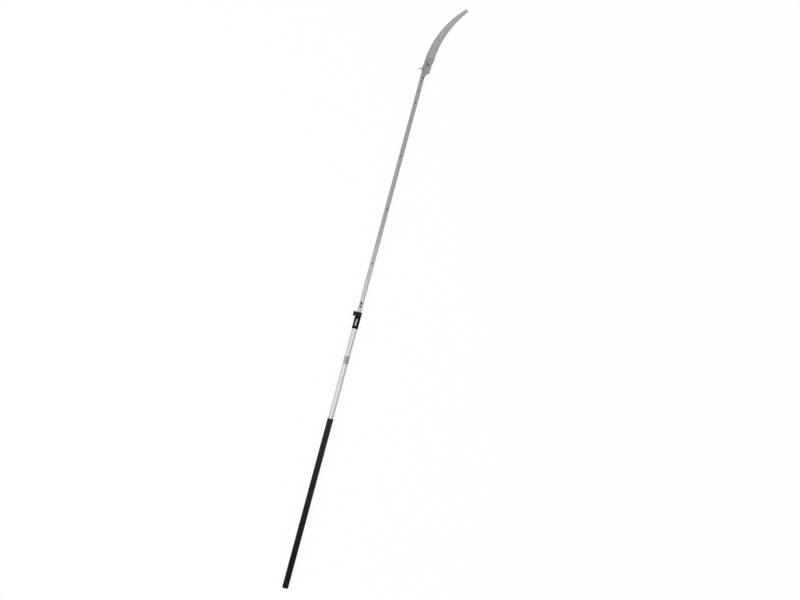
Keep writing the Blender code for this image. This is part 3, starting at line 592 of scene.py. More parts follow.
def band_film(colour):
    """Bare printed film: a lighter ruled field on one side, plain grey on the other, slightly scuffed."""
    finish = Finish("band_film_finish")
    clouds = finish.noise(90.0, 3.0)
    across = finish.y * 3400.0
    ruled = across.join("SINE", across).rising(0.2, 0.8)
    field = finish.y.rising(0.0008, 0.0012) * finish.z.rising(0.0, 0.002)
    scuffs = finish.noise((60.0, 900.0, 900.0), 2.0).rising(0.66, 0.72)
    tone = finish.mix(field, colour, toned(colour, 1.65))
    tone = finish.mix(ruled * field * 0.6, tone, colour)
    tone = finish.mix(scuffs * 0.4, tone, toned(colour, 1.5))
    return finish.surface({
        "Base Color": finish.mix(clouds * 0.3, tone, toned(colour, 0.8)),
        "Roughness": 0.38 + 0.16 * clouds + 0.15 * scuffs,
        "Normal": finish.bump(clouds, 0.00004, 0.5),
    })


def moulded(name, colour, polish=0.0, gloss=0.4):
    """Moulded plastic with a fine spark-eroded grain; polish is how far handling has smoothed it."""
    finish = Finish(name)
    grain = finish.noise(2600.0, 3.0, 0.6)
    flow = finish.noise(60.0, 3.0)
    dust = finish.noise(320.0, 4.0, 0.7).rising(0.55, 0.75)
    tone = finish.mix(flow, toned(colour, 0.8), toned(colour, 1.25))
    return finish.surface({
        "Base Color": finish.mix(dust * (0.25 + polish), tone, toned(colour, 2.1)),
        "Roughness": 0.52 - 0.16 * polish + 0.12 * flow + 0.08 * dust,
        "Specular IOR Level": gloss,
        "Normal": finish.bump(grain, 0.00005, 0.7 - 0.5 * polish),
    })


def label_panel(colour):
    """The rocker's bare panel: a pale field that narrows towards the blade, on a darker ground."""
    finish = Finish("panel_inlay")
    clouds = finish.noise(140.0, 4.0, 0.6)
    rub = finish.noise((90.0, 900.0, 900.0), 2.0).rising(0.6, 0.7)
    top = ROCKER_PANEL.high.x - 0.0062
    right = (finish.y + (finish.x - ROCKER_PANEL.middle.x) * 0.05).rising(-0.0018, -0.0010)
    left = (top + 0.006 - finish.x - finish.y * 2.6).rising(0.0, 0.003)
    pale = right * left * finish.x.rising(top + 0.0004, top - 0.0004)
    tone = finish.mix(clouds, toned(colour, 0.9), toned(colour, 1.05))
    tone = finish.mix(pale, toned(colour, 0.22), tone)
    return finish.surface({
        "Base Color": finish.mix(rub * 0.4, tone, toned(colour, 0.6)),
        "Roughness": 0.34 + 0.14 * clouds,
        "Specular IOR Level": 0.3,
        "Normal": finish.bump(clouds, 0.00003, 0.4),
    })


def ground_steel(colour, centre, back_centre):
    """Saw steel, ground along the blade's curve, with hard, dark tooth points and bright ground facets;
    painted light makes it paler towards the tip, and painted shade darkens it along its back.
    """
    finish = Finish("ground_blade_steel")
    reach = finish.distance(centre)
    from_y, from_x = finish.y - centre.y, finish.x - centre.x
    turn = from_y.join("ARCTAN2", from_y, from_x)
    curve = finish.vector(reach * 2400.0, turn * 9.0, finish.z * 2400.0)
    lines = finish.noise(1.0, 3.0, 0.65, curve)
    fine = finish.noise(1.0, 2.0, 0.5, finish.vector(reach * 9000.0, turn * 60.0, finish.z * 9000.0))
    clouds = finish.noise(26.0, 4.0, 0.6)
    ground = reach.rising(GULLET_RADIUS + 0.0012, GULLET_RADIUS + 0.0008)
    hardened = reach.rising(GULLET_RADIUS + 0.013, GULLET_RADIUS + 0.006)
    # Painted shade: darker along the blade's back
    painted_shade_spine = finish.distance(back_centre).rising(BACK_RADIUS - 0.009, BACK_RADIUS - 0.003)
    # Painted light: paler towards the tip
    painted_light_tip = finish.x.rising(HEAD + 0.24, HEAD + 0.50)
    tone = finish.mix(clouds, toned(colour, 0.86), toned(colour, 1.16))
    tone = finish.mix(painted_light_tip * 0.75, tone, toned(colour, 1.20))
    tone = finish.mix(painted_shade_spine * (0.8 - 0.2 * painted_light_tip), tone, toned(colour, 0.75))
    tone = finish.mix(lines.rising(0.35, 0.7) * 0.35, tone, toned(colour, 0.80))
    browned = (colour[0] * 0.56, colour[1] * 0.54, colour[2] * 0.53)
    tone = finish.mix(hardened * (0.3 - 0.1 * painted_light_tip), tone, browned)
    tone = finish.mix(ground * 0.6, tone, toned(colour, 1.1))
    return finish.surface({
        "Base Color": tone,
        "Metallic": 1.0,
        "Roughness": 0.30 + 0.12 * clouds + 0.10 * lines - 0.06 * ground,
        "Normal": finish.bump(lines * 0.6 + fine * 0.4, 0.00003, 0.5),
    })


def plated_steel(name, colour, worn=0.0):
    """Dull plated sheet steel: blotched, painted darker along its back as painted shade, brighter and
    smoother where it has rubbed.
    """
    finish = Finish(name)
    mottle = finish.noise(95.0, 5.0, 0.62)
    pits = finish.cells(1500.0).rising(0.28, 0.10)
    stains = finish.noise(30.0, 4.0, 0.6).rising(0.5, 0.75)
    rub = finish.noise(240.0, 4.0, 0.65).rising(0.58 - 0.3 * worn, 0.72 - 0.3 * worn)
    blotches = finish.noise(150.0, 2.0, 0.4)
    tone = finish.mix(mottle, toned(colour, 0.80), toned(colour, 1.16))
    tone = finish.mix(blotches.rising(0.52, 0.40) * 0.55, tone, toned(colour, 0.55))
    tone = finish.mix(blotches.rising(0.56, 0.66) * 0.5, tone, toned(colour, 1.6))
    # Painted shade: darker across towards the back side of the holder and over the hook
    tone = finish.mix(finish.y.rising(-0.020, 0.006) * 0.5, tone, toned(colour, 0.70))
    tone = finish.mix(stains * 0.4, tone, (colour[0] * 0.72, colour[1] * 0.66, colour[2] * 0.6))
    tone = finish.mix(rub * (0.25 + 0.6 * worn), tone, toned(colour, 1.7))
    return finish.surface({
        "Base Color": finish.mix(pits * 0.4, tone, toned(colour, 0.5)),
        "Metallic": 1.0,
        "Roughness": 0.44 + 0.16 * mottle - 0.12 * rub,
        "Normal": finish.bump(mottle * 0.6 - pits * 0.4, 0.00005, 0.6),
    })


def fastener(name, colour):
    """Plated or blackened fasteners: fine spangle, and a little dulling."""
    finish = Finish(name)
    spangle = finish.cells(2200.0)
    dull = finish.noise(180.0, 4.0, 0.6)
    fine = finish.noise(5200.0, 2.0)
    tone = finish.mix(spangle, toned(colour, 0.85), toned(colour, 1.12))
    return finish.surface({
        "Base Color": finish.mix(dull.rising(0.45, 0.75) * 0.5, tone, toned(colour, 0.55)),
        "Metallic": 1.0,
        "Roughness": 0.30 + 0.2 * dull,
        "Normal": finish.bump(fine, 0.00002, 0.5),
    })


# Pole

RIM_STATION = 0.002
GRIP_STATION = 0.001
INDEX_STATION = 0.008
SLEEVE_WALL = 0.0016
BAND_EDGE = 0.00018
BUSH_EDGE = 0.0003
BUSH_COLLAR = 0.003
CAP_GAP = 0.0003
CAP_LIP = (0.0006, 0.0005)
CAP_FLOOR = 0.003
CAP_PLUG_WALL = 0.0025
# The dish in the butt's end, as (depth, share of the cap's radius)
CAP_DISH = ((0.0007, 0.10), (0.0006, 0.52), (0.0001, 0.60), (0.0, 0.64))


def make_grip(sizes, colours):
    rubber = grip_rubber(colours.grip)
    cap = Span("butt_cap")
    radius, corner = cap.half.z, sizes.cap_round
    flange = GRIP.start - CAP_GAP
    dish = [(depth, radius * share) for depth, share in CAP_DISH]
    bend = [(corner * (1 - up), radius - corner * (1 - out)) for out, up in quarter_round(6)]
    lip = [(flange - CAP_LIP[0], radius), (flange - 0.0001, radius - CAP_LIP[1])]
    plug = OUTER_BORE - SKIN
    hollow, floor = plug - CAP_PLUG_WALL, flange + CAP_FLOOR
    inside = [(flange, plug), (cap.high.x, plug), (cap.high.x, hollow), (floor, hollow), (floor, dish[0][1])]
    whole = oval_turned(dish + bend + lip + inside, cap.half.y - radius, closed=False)
    piece("butt_cap_rubber", whole, [rubber], "lower_pole", "grip_rubber", ["butt_cap"])
    near = [GRIP.start + RIM_STATION, GRIP.end - RIM_STATION]
    sleeve = tube(GRIP.start, GRIP.end, GRIP.radius, GRIP.radius - SLEEVE_WALL, GRIP.flat, near)
    piece(
        "grip_sleeve_rubber", sleeve, [rubber], "lower_pole", "grip_rubber", ["grip_sleeve"],
        edge=sizes.grip_rim, edge_steps=4,
    )


def make_lower_tube(sizes, colours):
    # The lower tube gets painted shade down its far side
    pale = drawn_aluminium("pale_drawn_tube", colours.lower_tube, 0.3, OUTER, painted_shade=0.55)
    near = [
        OUTER.start + RIM_STATION, GRIP.end - GRIP_STATION, GRIP.end + GRIP_STATION, OUTER.end - RIM_STATION,
    ]
    wall = tube(OUTER.start, OUTER.end, OUTER.radius, OUTER_BORE, OUTER.flat, near)
    piece(
        "lower_tube_wall", wall, [pale], "lower_pole", "pale_aluminium", ["outer_tube"],
        edge=sizes.tube_rim,
    )
    band = OvalSpan("info_band")
    film = tube(band.start, band.end, band.radius, OUTER.radius + SKIN, band.flat, [band.middle.x])
    piece(
        "bare_band_film", film, [band_film(colours.band)], "lower_pole", "band_film", ["info_band"],
        edge=BAND_EDGE,
    )
    bush = OvalSpan("mouth_bush")
    ring = tube(bush.start, bush.end, bush.radius, INNER.radius + SKIN, bush.flat)
    guide = moulded("guide_bush_plastic", colours.bush)
    piece("mouth_guide_bush", ring, [guide], "lower_pole", "bush_plastic", ["mouth_bush"], edge=BUSH_EDGE)


def make_upper_tube(sizes, colours):
    # The upper tube, having marks, gets painted light near the lock
    grey = drawn_aluminium("grey_drawn_tube", colours.upper_tube, 1.0, INNER, stop_marks)
    near = [INNER.start + RIM_STATION, INNER.end - RIM_STATION]
    for place in INDEX_HOLES:
        near += [place - INDEX_STATION, place + INDEX_STATION]
    wall = tube(INNER.start, INNER.end, INNER.radius, INNER_BORE, INNER.flat, near)
    drills = [
        rod(INDEX_HOLE_RADIUS, 0.0, INNER.radius + 0.003, (place, 0.0, 0.0), steps=48)
        for place in INDEX_HOLES
    ]
    wall = combined(wall, [joined(drills)])
    piece(
        "upper_tube_wall", wall, [grey], "upper_pole", "grey_aluminium", ["inner_tube"],
        edge=sizes.tube_rim, edge_angle=40,
    )
    bush = OvalSpan("slide_bush")
    seat, bore = bush.start + BUSH_COLLAR, INNER.radius + SKIN
    profile = [
        (bush.start, bush.radius), (bush.end, bush.radius), (bush.end, bore),
        (seat, bore), (seat, INNER_BORE), (bush.start, INNER_BORE),
    ]
    guide = moulded("slide_bush_plastic", colours.bush)
    ring = oval_turned(profile, bush.flat)
    piece("slide_guide_bush", ring, [guide], "upper_pole", "bush_plastic", ["slide_bush"], edge=BUSH_EDGE)


# Lock

LOCK_FLOOR = 0.0155
LOCK_BACK_ROUND, LOCK_FRONT_ROUND = 0.003, 0.008
LEVER_ZONE = 1.6815
KNUCKLE = (1.686, 1.711)
PIN_Y = LEVER_PIN.middle.y
PIN_Z = LEVER_PIN.middle.z
LEVER_AXIS = (0.0, PIN_Y, PIN_Z)
KNUCKLE_RADIUS = 0.005594
CAM_RADIUS, CAM_THROW = 0.0036, 0.0004
ARM_LOW, ARM_HIGH = 0.0158, 0.0190
ARM_END, TAB_START = 0.01985, 0.02455
TAB_HIGH, TAB_LOW = ARM_HIGH - 0.003, ARM_HIGH - 0.0086
NECK_HALF = 0.01075
CHEEK_EDGE = PIN_Y + 0.0038
ROCKER_TILT = 4.8
ROCKER_GAP = 0.0005
PANEL_GAP = 0.00025
INDEX_WAY_RADIUS = 0.0048
SPRING_ROOM = (0.0172, 0.0062, 0.0148)
SCREW_PLACES = (1.618, 1.651)
SCREW_HOLE_RADIUS, SCREW_HOLE_DEPTH = 0.0029, 0.0018
SCREW_SINK = 0.0016
# A screw's dished head, as (radius, height from its rim), and the half sizes of its crossed slots
SCREW_HEAD = (
    (0.0, -0.0015), (0.0012, -0.0014), (0.0019, -0.0010), (0.0025, -0.0002), (0.0026, 0.0), (0.0014, 0.0),
)
SCREW_SLOTS = ((0.0014, 0.0003), (0.0003, 0.0014))
SCREW_SHANK_RADIUS = 0.0014
ROCKER_EDGE, PANEL_EDGE, SPRING_EDGE, LEVER_EDGE = 0.00035, 0.00025, 0.0001, 0.0004
LOCK_GLOSS = 0.07
LEVER_GLOSS = 0.16


def make_lock_collar(sizes, colours):
    black = moulded("lock_moulding", colours.lock, gloss=LOCK_GLOSS)
    handled = moulded("lock_moulding_edges", toned(colours.lock, 3.0), 0.5, LOCK_GLOSS)
    side, top, back = LOCK.half.y, LOCK.high.z, LOCK.low.z
    above, beside, past = top + PAST, side + PAST, LOCK.high.x + PAST
    outline = [
        (-side, back, LOCK_BACK_ROUND), (side, back, LOCK_BACK_ROUND),
        (side, top, LOCK_FRONT_ROUND), (-side, top, LOCK_FRONT_ROUND),
    ]
    body = stood_across(slab(outline, LOCK.low.x, LOCK.high.x, 12))
    ends = [
        edge for edge in body.edges
        if abs(edge.verts[0].co.x - edge.verts[1].co.x) < HAIR and edge.calc_face_angle(0.0) > 1.0
    ]
    bmesh.ops.bevel(
        body, geom=ends, offset=sizes.lock_end_round, affect="EDGES", segments=4, profile=0.5, material=-1
    )
    pivot = ROCKER_PIN.middle.x
    for offset in (-0.003, 0.003):
        sliced_across(body, pivot + offset)
    recess_side = ROCKER.half.y + ROCKER_GAP
    room_long, room_wide, room_floor = SPRING_ROOM
    tools = [
        tube_plug(LOCK.low.x - PAST, OUTER.end + SKIN, OUTER.radius + SKIN),
        tube_plug(LOCK.low.x, past, INNER.radius + SKIN),
        bar((ROCKER.low.x - 0.0008, LEVER_ZONE + PAST), (-recess_side, recess_side), (LOCK_FLOOR, above)),
        bar((LEVER_ZONE, past), (CHEEK_EDGE, beside), (LOCK_FLOOR, above)),
        bar((LEVER_ZONE, past), (-beside, CHEEK_EDGE + PAST), (ARM_HIGH - 0.0008, above)),
        bar(KNUCKLE, (-beside, CHEEK_EDGE + PAST), (PIN_Z, above)),
        rod(KNUCKLE_RADIUS + SKIN, *KNUCKLE, LEVER_AXIS, LONG_WAYS),
        rod(LEVER_PIN.half.y + SKIN, LEVER_PIN.low.x - SKIN, past, LEVER_AXIS, LONG_WAYS, 24),
        rod(ROCKER_PIN.half.z + SKIN, -beside, beside, ROCKER_PIN.middle, ACROSS, 24),
        rod(INDEX_WAY_RADIUS, 0.0, above, (INDEX_PIN.middle.x, 0.0, 0.0)),
        bar((pivot - room_long, pivot + room_long), (-room_wide, room_wide), (room_floor, above)),
    ]
    deep = back + SCREW_HOLE_DEPTH
    for place in SCREW_PLACES:
        tools.append(rod(SCREW_HOLE_RADIUS, back - PAST, deep, (place, 0.0, 0.0), steps=24))
    piece(
        "lock_collar", combined(body, tools), [black, handled], "lower_pole", "lock_plastic",
        ["lock_body"], edge=sizes.lock_edge, edge_angle=38,
    )
    zinc = fastener("zinc_plate", colours.zinc)
    head = back + SCREW_SINK
    profile = [(radius, head + height) for radius, height in SCREW_HEAD]
    profile += [(SCREW_SHANK_RADIUS, -OUTER_BORE), (0.0, -OUTER_BORE)]
    for number, place in enumerate(SCREW_PLACES, 1):
        screw = turned(profile, (place, 0.0, 0.0), UPWARDS, 28)
        slots = [
            bar((place - long, place + long), (-wide, wide), (back - 0.001, head - 0.0007))
            for long, wide in SCREW_SLOTS
        ]
        piece(
            f"lock_screw_head_{number}", combined(screw, slots), [zinc], "lower_pole", "zinc_steel",
            [f"lock_screw_{number}"],
        )


def make_index_rocker(colours):
    black = moulded("rocker_moulding", colours.lock, gloss=LOCK_GLOSS)
    handled = moulded("rocker_moulding_edges", colours.lock, 0.6, LOCK_GLOSS)
    zinc = fastener("zinc_plate", colours.zinc)
    under, top = ROCKER.low.z, ROCKER.high.z
    pivot = ROCKER_PIN.middle.x
    tail = under + (ROCKER.high.x - pivot) * tan(radians(ROCKER_TILT))
    outline = [
        (ROCKER.low.x, under, 0.0), (pivot, under, 0.0), (ROCKER.high.x, tail, 0.0),
        (ROCKER.high.x, top, 0.0012), (ROCKER.low.x, top, 0.0012),
    ]
    body = stood_side_on(slab(outline, -ROCKER.half.y, ROCKER.half.y))
    tools = [
        slab(seen_from_above(ROCKER_PANEL, PANEL_GAP, 0.0022), top - 0.001, top + 0.001),
        rod(ROCKER_PIN.half.z + SKIN, -0.02, 0.02, ROCKER_PIN.middle, ACROSS, 24),
        rod(INDEX_PIN.half.x + SKIN, 0.0, INDEX_PIN.high.z, (INDEX_PIN.middle.x, 0.0, 0.0)),
    ]
    piece(
        "rocker_arm", combined(body, tools), [black, handled], "index_rocker", "lock_plastic",
        ["index_rocker"], edge=ROCKER_EDGE, edge_steps=3, edge_angle=38,
    )
    inlay = slab(seen_from_above(ROCKER_PANEL, 0.0, 0.002), ROCKER_PANEL.low.z, ROCKER_PANEL.high.z)
    piece(
        "rocker_light_panel", inlay, [label_panel(colours.panel)], "index_rocker", "panel_plastic",
        ["rocker_panel"], edge=PANEL_EDGE, edge_steps=3,
    )
    radius, low, high = INDEX_PIN.half.x, INDEX_PIN.low.z, INDEX_PIN.high.z
    profile = [
        (0.0, low), (radius - 0.0009, low), (radius - 0.0003, low + 0.0003), (radius, low + 0.0009),
        (radius, high - 0.0002), (radius - 0.0002, high), (0.0, high),
    ]
    pin = turned(profile, (INDEX_PIN.middle.x, 0.0, 0.0))
    piece("index_pin_steel", pin, [zinc], "index_rocker", "zinc_steel", ["index_pin"])
    half = ROCKER_PIN.half.y
    cross = chamfered_pin(ROCKER_PIN.half.z, -half, half, ROCKER_PIN.middle, ACROSS)
    piece("rocker_cross_pin", cross, [zinc], "lower_pole", "zinc_steel", ["rocker_pin"])
    leaf = Span("rocker_spring")
    strip = bar(*zip(leaf.low, leaf.high))
    piece(
        "rocker_leaf_spring", strip, [zinc], "lower_pole", "zinc_steel", ["rocker_spring"],
        edge=SPRING_EDGE,
    )


def make_clamp_lever(colours):
    black = moulded("lever_moulding", toned(colours.lock, 1.6), 0.2, LEVER_GLOSS)
    handled = moulded("lever_moulding_edges", toned(colours.lock, 1.6), 0.7, LEVER_GLOSS)
    reach, high, low = LEVER.high.y, LEVER.high.x, LEVER.low.x
    out = Vector((PIN_Y + OUTER.flat, PIN_Z)).normalized()
    pin = Vector((PIN_Y, PIN_Z))
    profile = [
        (PIN_Y + 0.0048, ARM_LOW, 0.0), (ARM_END, ARM_LOW, 0.002), (TAB_START, TAB_LOW, 0.004),
        (reach, TAB_LOW, 0.0026), (reach, TAB_HIGH, 0.0026), (ARM_END, ARM_HIGH, 0.014),
        (PIN_Y, ARM_HIGH, 0.0),
    ]
    profile += arc_corners(pin, KNUCKLE_RADIUS, 90, 165, 15)[1:]
    profile += arc_corners(pin - out * CAM_THROW, CAM_RADIUS, 190, 380, 38)
    arm = stood_across(slab(profile, low - PAST, high + PAST, 10))
    body_start, body_end = KNUCKLE[0] + SKIN, KNUCKLE[1] - SKIN
    wide_start, wide_end = LEVER_ZONE + 0.0008, LOCK.high.x - SKIN
    band_start, band_end = PIN_Y + 0.0065, LOCK.half.y - 0.0035
    middle, edge = (low + high) / 2, -LOCK.half.y - PAST
    plan = slab([
        (body_start, edge, 0.0), (body_end, edge, 0.0), (body_end, band_start, 0.0),
        (wide_end, band_start, 0.001), (wide_end, band_end, 0.002), (middle + NECK_HALF, ARM_END, 0.002),
        (high, TAB_START, 0.003), (high, reach + SKIN, 0.006), (low, reach + SKIN, 0.006),
        (low, TAB_START, 0.003), (middle - NECK_HALF, ARM_END, 0.002), (wide_start + 0.007, band_end, 0.002),
        (wide_start, band_start, 0.001), (body_start, band_start, 0.0),
    ], 0.0, 0.03, 10)
    arm = combined(arm, [plan], "INTERSECT")
    arm = combined(arm, [rod(LEVER_PIN.half.y + SKIN, low - 0.01, high + 0.01, LEVER_AXIS, LONG_WAYS, 24)])
    piece(
        "lever_and_tab", arm, [black, handled], "clamp_lever", "lock_plastic", ["clamp_lever"],
        edge=LEVER_EDGE, edge_steps=3, edge_angle=38,
    )
    pin = chamfered_pin(LEVER_PIN.half.y, LEVER_PIN.low.x, LEVER_PIN.high.x, LEVER_AXIS, LONG_WAYS)
    zinc = fastener("zinc_plate", colours.zinc)
    piece("lever_hinge_pin", pin, [zinc], "lower_pole", "zinc_steel", ["lever_pin"])
    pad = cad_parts["clamp_pad"].data.materials
    pad.clear()
    pad.append(grip_rubber(colours.grip))


# Head

PLATE_IN, PLATE_OUT = 0.00105, 0.00355
FOOT_RISE = 0.0053 - PLATE_IN
BEND_START, BEND_END = 0.030, 0.0495
BEND_STATIONS = 12
BOLT_PLACES = (Vector((0.103, -0.0114)), Vector((0.070, -0.0205)))
HOLDER_RIVETS = (Vector((0.0095, -0.008)), Vector((0.0095, 0.008)))
HOOK_RIVET = Vector((0.0650, 0.0100))
TUBE_RIVETS = (Vector((-0.0134, 0.0)), Vector((-0.0753, 0.0)))
BOLT_HOLE_RADIUS, RIVET_HOLE_RADIUS = 0.0032, 0.0022
# Corners as (distance from the upper tube's end, place across, rounding)
HOLDER_CORNERS = (
    (0.0038, 0.0126, 0.002), (0.0038, -0.0130, 0.002), (0.0110, -0.0134, 0.004), (0.0300, -0.0166, 0.004),
    (0.0450, -0.0262, 0.003), (0.0466, -0.0378, 0.0045), (0.0640, -0.0374, 0.010), (0.1060, -0.0382, 0.010),
    (0.1450, -0.0378, 0.003), (0.154, 0.0103, 0.002), (0.0930, 0.0142, 0.006), (0.0810, 0.0162, 0.003),
    (0.0560, 0.0158, 0.003), (0.0430, 0.0114, 0.006),
)
CORE_SHOULDER = 0.0025
CORE_ROUND, CORE_EDGE = 0.0004, 0.0003
NEAR_AXIS = 0.02
CORE_TONGUE = (0.012, 0.005)
RIVET_HEAD_RADIUS, RIVET_HEAD_HEIGHT = 0.0038, 0.0013
RIVET_SHANK_RADIUS = 0.002
HOLDER_GRIP, HOOK_GRIP = 0.008, 0.00375
BOLT_HEAD = (0.00535, 0.00935)
BOLT_RADIUS, BOLT_END = 0.003, -0.01265
THREAD_START, THREAD_TURNS = -0.0098, 7
THREAD_PITCH, THREAD_DEPTH = 0.00035, 0.00022
WASHER = (0.00385, 0.00505)
WASHER_RADIUS, WASHER_ROUND = 0.006, 0.0002
NUT = (-0.01135, -0.00535)
HEXAGON_CORNER = 0.00577
HEXAGON_TOP, HEXAGON_DROP = 0.0050, 0.0006
HEXAGON_EDGE = {"edge": 0.00015, "edge_angle": 24}
HOOK_HALF, HOOK_EDGE = 0.00075, 0.00035
HOOK_CORNERS = (
    (0.0575, 0.0015, 0.001), (0.0795, 0.0015, 0.001), (0.0795, 0.0142, 0.001), (0.0748, 0.0160, 0.002),
    (0.0732, 0.0205, 0.004), (0.0728, 0.0280, 0.004), (0.0678, 0.0336, 0.003), (0.0588, 0.0338, 0.0012),
    (0.0586, 0.0312, 0.0008), (0.0662, 0.0262, 0.002), (0.0664, 0.0195, 0.0015), (0.0605, 0.0142, 0.001),
)


def from_head(corners):
    """Corners measured along the pole from the upper tube's end."""
    return [(HEAD + x, y, radius) for x, y, radius in corners]


def drilled(shape, places, radius):
    """A flat piece of the head with round holes through it."""
    drills = [rod(radius, -0.02, 0.02, (HEAD + place.x, place.y, 0.0), steps=28) for place in places]
    return combined(shape, [joined(drills)])


def make_holder(sizes, colours):
    steel = plated_steel("holder_plate_steel", colours.holder)
    rubbed = plated_steel("holder_plate_edges", colours.holder, 0.8)
    bend = BEND_END - BEND_START
    for name, side in (("holder_front", 1), ("holder_back", -1)):
        plate = slab(from_head(HOLDER_CORNERS), PLATE_IN, PLATE_OUT)
        plate = drilled(plate, BOLT_PLACES, BOLT_HOLE_RADIUS)
        plate = drilled(plate, [*HOLDER_RIVETS, HOOK_RIVET], RIVET_HOLE_RADIUS)
        for step in range(BEND_STATIONS + 1):
            sliced_across(plate, HEAD + BEND_START + bend * step / BEND_STATIONS)
        for vert in plate.verts:
            share = min(max((HEAD + BEND_END - vert.co.x) / bend, 0.0), 1.0)
            vert.co.z += FOOT_RISE * share * share * (3 - 2 * share)
        if side < 0:
            bmesh.ops.scale(plate, vec=(1.0, 1.0, -1.0), verts=plate.verts[:])
            bmesh.ops.reverse_faces(plate, faces=plate.faces[:])
        piece(
            f"{name}_plate", plate, [steel, rubbed], "upper_pole", "holder_steel", [name],
            edge=sizes.plate_edge, edge_steps=3, edge_angle=40,
        )


def make_core(colours):
    grey = drawn_aluminium("core_aluminium", toned(colours.upper_tube, 0.9), 0.2, INNER)
    core = Span("head_core")
    start = HEAD + SKIN
    end, inside = start + CORE_SHOULDER, start + 0.001
    rim, bore = INNER.radius - CORE_ROUND, INNER_BORE - SKIN
    near, plug_near = INNER.radius * NEAR_AXIS, INNER_BORE * NEAR_AXIS
    ring = oval_turned([
        (start, near), (start, rim), (start + CORE_ROUND, INNER.radius),
        (end - CORE_ROUND, INNER.radius), (end, rim), (end, near),
    ], INNER.flat, closed=False)
    stem = [(core.low.x, plug_near), (core.low.x, bore), (inside, bore), (inside, plug_near)]
    plug = oval_turned(stem, INNER.flat, closed=False)
    wide, thick = CORE_TONGUE
    tongue = bar((inside, core.high.x), (-wide, wide), (-thick, thick))
    whole = combined(ring, [plug, tongue], "UNION")
    piece("head_core_plug", whole, [grey], "upper_pole", "grey_aluminium", ["head_core"], edge=CORE_EDGE)


def make_rivets(colours):
    # Painted shade: the rivets share one blackened steel, painted in three tones of shade, one rivet darker
    # than another
    dark = fastener("blackened_rivet", colours.dark)
    dull = fastener("less_shaded_rivet", toned(colours.dark, 2.2))
    pale = fastener("pale_rivet", toned(colours.dark, 3.6))
    dome = [(RIVET_HEAD_RADIUS * out, RIVET_HEAD_HEIGHT * up) for out, up in quarter_round(7)]
    rivets = {
        "tube_rivet_1": (TUBE_RIVETS[0], INNER.radius + SKIN, dark),
        "tube_rivet_2": (TUBE_RIVETS[1], INNER.radius + SKIN, dull),
        "holder_rivet_1": (HOLDER_RIVETS[0], HOLDER_GRIP, dark),
        "holder_rivet_2": (HOLDER_RIVETS[1], HOLDER_GRIP, dull),
        "hook_rivet": (HOOK_RIVET, HOOK_GRIP, pale),
    }
    for node, (place, grip, steel) in rivets.items():
        upper = [(out, grip + up) for out, up in dome]
        upper += [(RIVET_HEAD_RADIUS - 0.0002, grip - HAIR), (RIVET_SHANK_RADIUS, grip)]
        lower = [(out, -along) for out, along in reversed(upper)]
        rivet = turned(upper + lower, (HEAD + place.x, place.y, 0.0))
        piece(f"{node}_head", rivet, [steel], "upper_pole", "dark_steel", [node])


def make_bolts(colours):
    zinc = fastener("zinc_plate", colours.zinc)
    # Painted shade: the upper bolt and its washers are coloured dark for the shade they sit in; the lower
    # bolt and its washers show the zinc both share
    painted_shade = fastener("shade_painted_washer", toned(colours.zinc, 0.4))
    looks = [("dark_steel", fastener("shade_painted_bolt", colours.dark), painted_shade), ("zinc_steel", zinc, zinc)]
    for number, (place, (slot, steel, plate)) in enumerate(zip(BOLT_PLACES, looks), 1):
        spot = (HEAD + place.x, place.y, 0.0)
        bolt = combined(hexagon(spot, *BOLT_HEAD, (False, True)), [turned(bolt_shank(), spot)], "UNION")
        piece(
            f"blade_bolt_{number}_hex", bolt, [steel], "upper_pole", slot, [f"blade_bolt_{number}"],
            **HEXAGON_EDGE,
        )
        for side, name in ((1, "front"), (-1, "back")):
            low, high = sorted(side * height for height in WASHER)
            edge = WASHER_RADIUS - WASHER_ROUND
            ring = [
                (BOLT_HOLE_RADIUS, low), (edge, low), (WASHER_RADIUS, low + WASHER_ROUND),
                (WASHER_RADIUS, high - WASHER_ROUND), (edge, high), (BOLT_HOLE_RADIUS, high),
                (BOLT_HOLE_RADIUS, low),
            ]
            piece(
                f"{name}_washer_{number}_ring", turned(ring, spot, steps=48), [plate], "upper_pole",
                "zinc_steel", [f"{name}_washer_{number}"],
            )
        nut = combined(hexagon(spot, *NUT, (True, True)), [rod(BOLT_HOLE_RADIUS, -0.02, 0.0, spot)])
        piece(
            f"blade_nut_{number}_hex", nut, [zinc], "upper_pole", "zinc_steel", [f"blade_nut_{number}"],
            **HEXAGON_EDGE,
        )


def bolt_shank():
    """A bolt's profile from inside its head to its threaded, chamfered end."""
    inside = BOLT_HEAD[0] + 0.002
    profile = [(0.0, inside), (BOLT_RADIUS, inside), (BOLT_RADIUS, THREAD_START + 0.0003)]
    for number in range(THREAD_TURNS):
        crest = THREAD_START - THREAD_PITCH * number
        profile += [(BOLT_RADIUS, crest), (BOLT_RADIUS - THREAD_DEPTH, crest - THREAD_PITCH / 2)]
    return profile + [(0.0029, BOLT_END + 0.00055), (0.0024, BOLT_END), (0.0, BOLT_END)]


def hexagon(spot, low, high, chamfered):
    """A hexagon between two heights, its corners turned off at the chamfered ends."""
    shape = bmesh.new()
    middle = Vector(spot) + UPWARDS * (high + low) / 2
    bmesh.ops.create_cone(
        shape, cap_ends=True, cap_tris=False, segments=6, radius1=HEXAGON_CORNER, radius2=HEXAGON_CORNER,
        depth=high - low, matrix=Matrix.Translation(middle) @ Matrix.Rotation(pi / 6, 4, "Z"),
    )
    profile = [(0.0, low)]
    for height, inwards, cut in ((low, 1, chamfered[0]), (high, -1, chamfered[1])):
        if cut:
            end = [(HEXAGON_TOP, height), (HEXAGON_CORNER + 0.0002, height + inwards * HEXAGON_DROP)]
        else:
            end = [(HEXAGON_CORNER + 0.0005, height)]
        profile += end[::inwards]
    profile.append((0.0, high))
    return combined(shape, [turned(profile, spot, steps=60)], "INTERSECT")


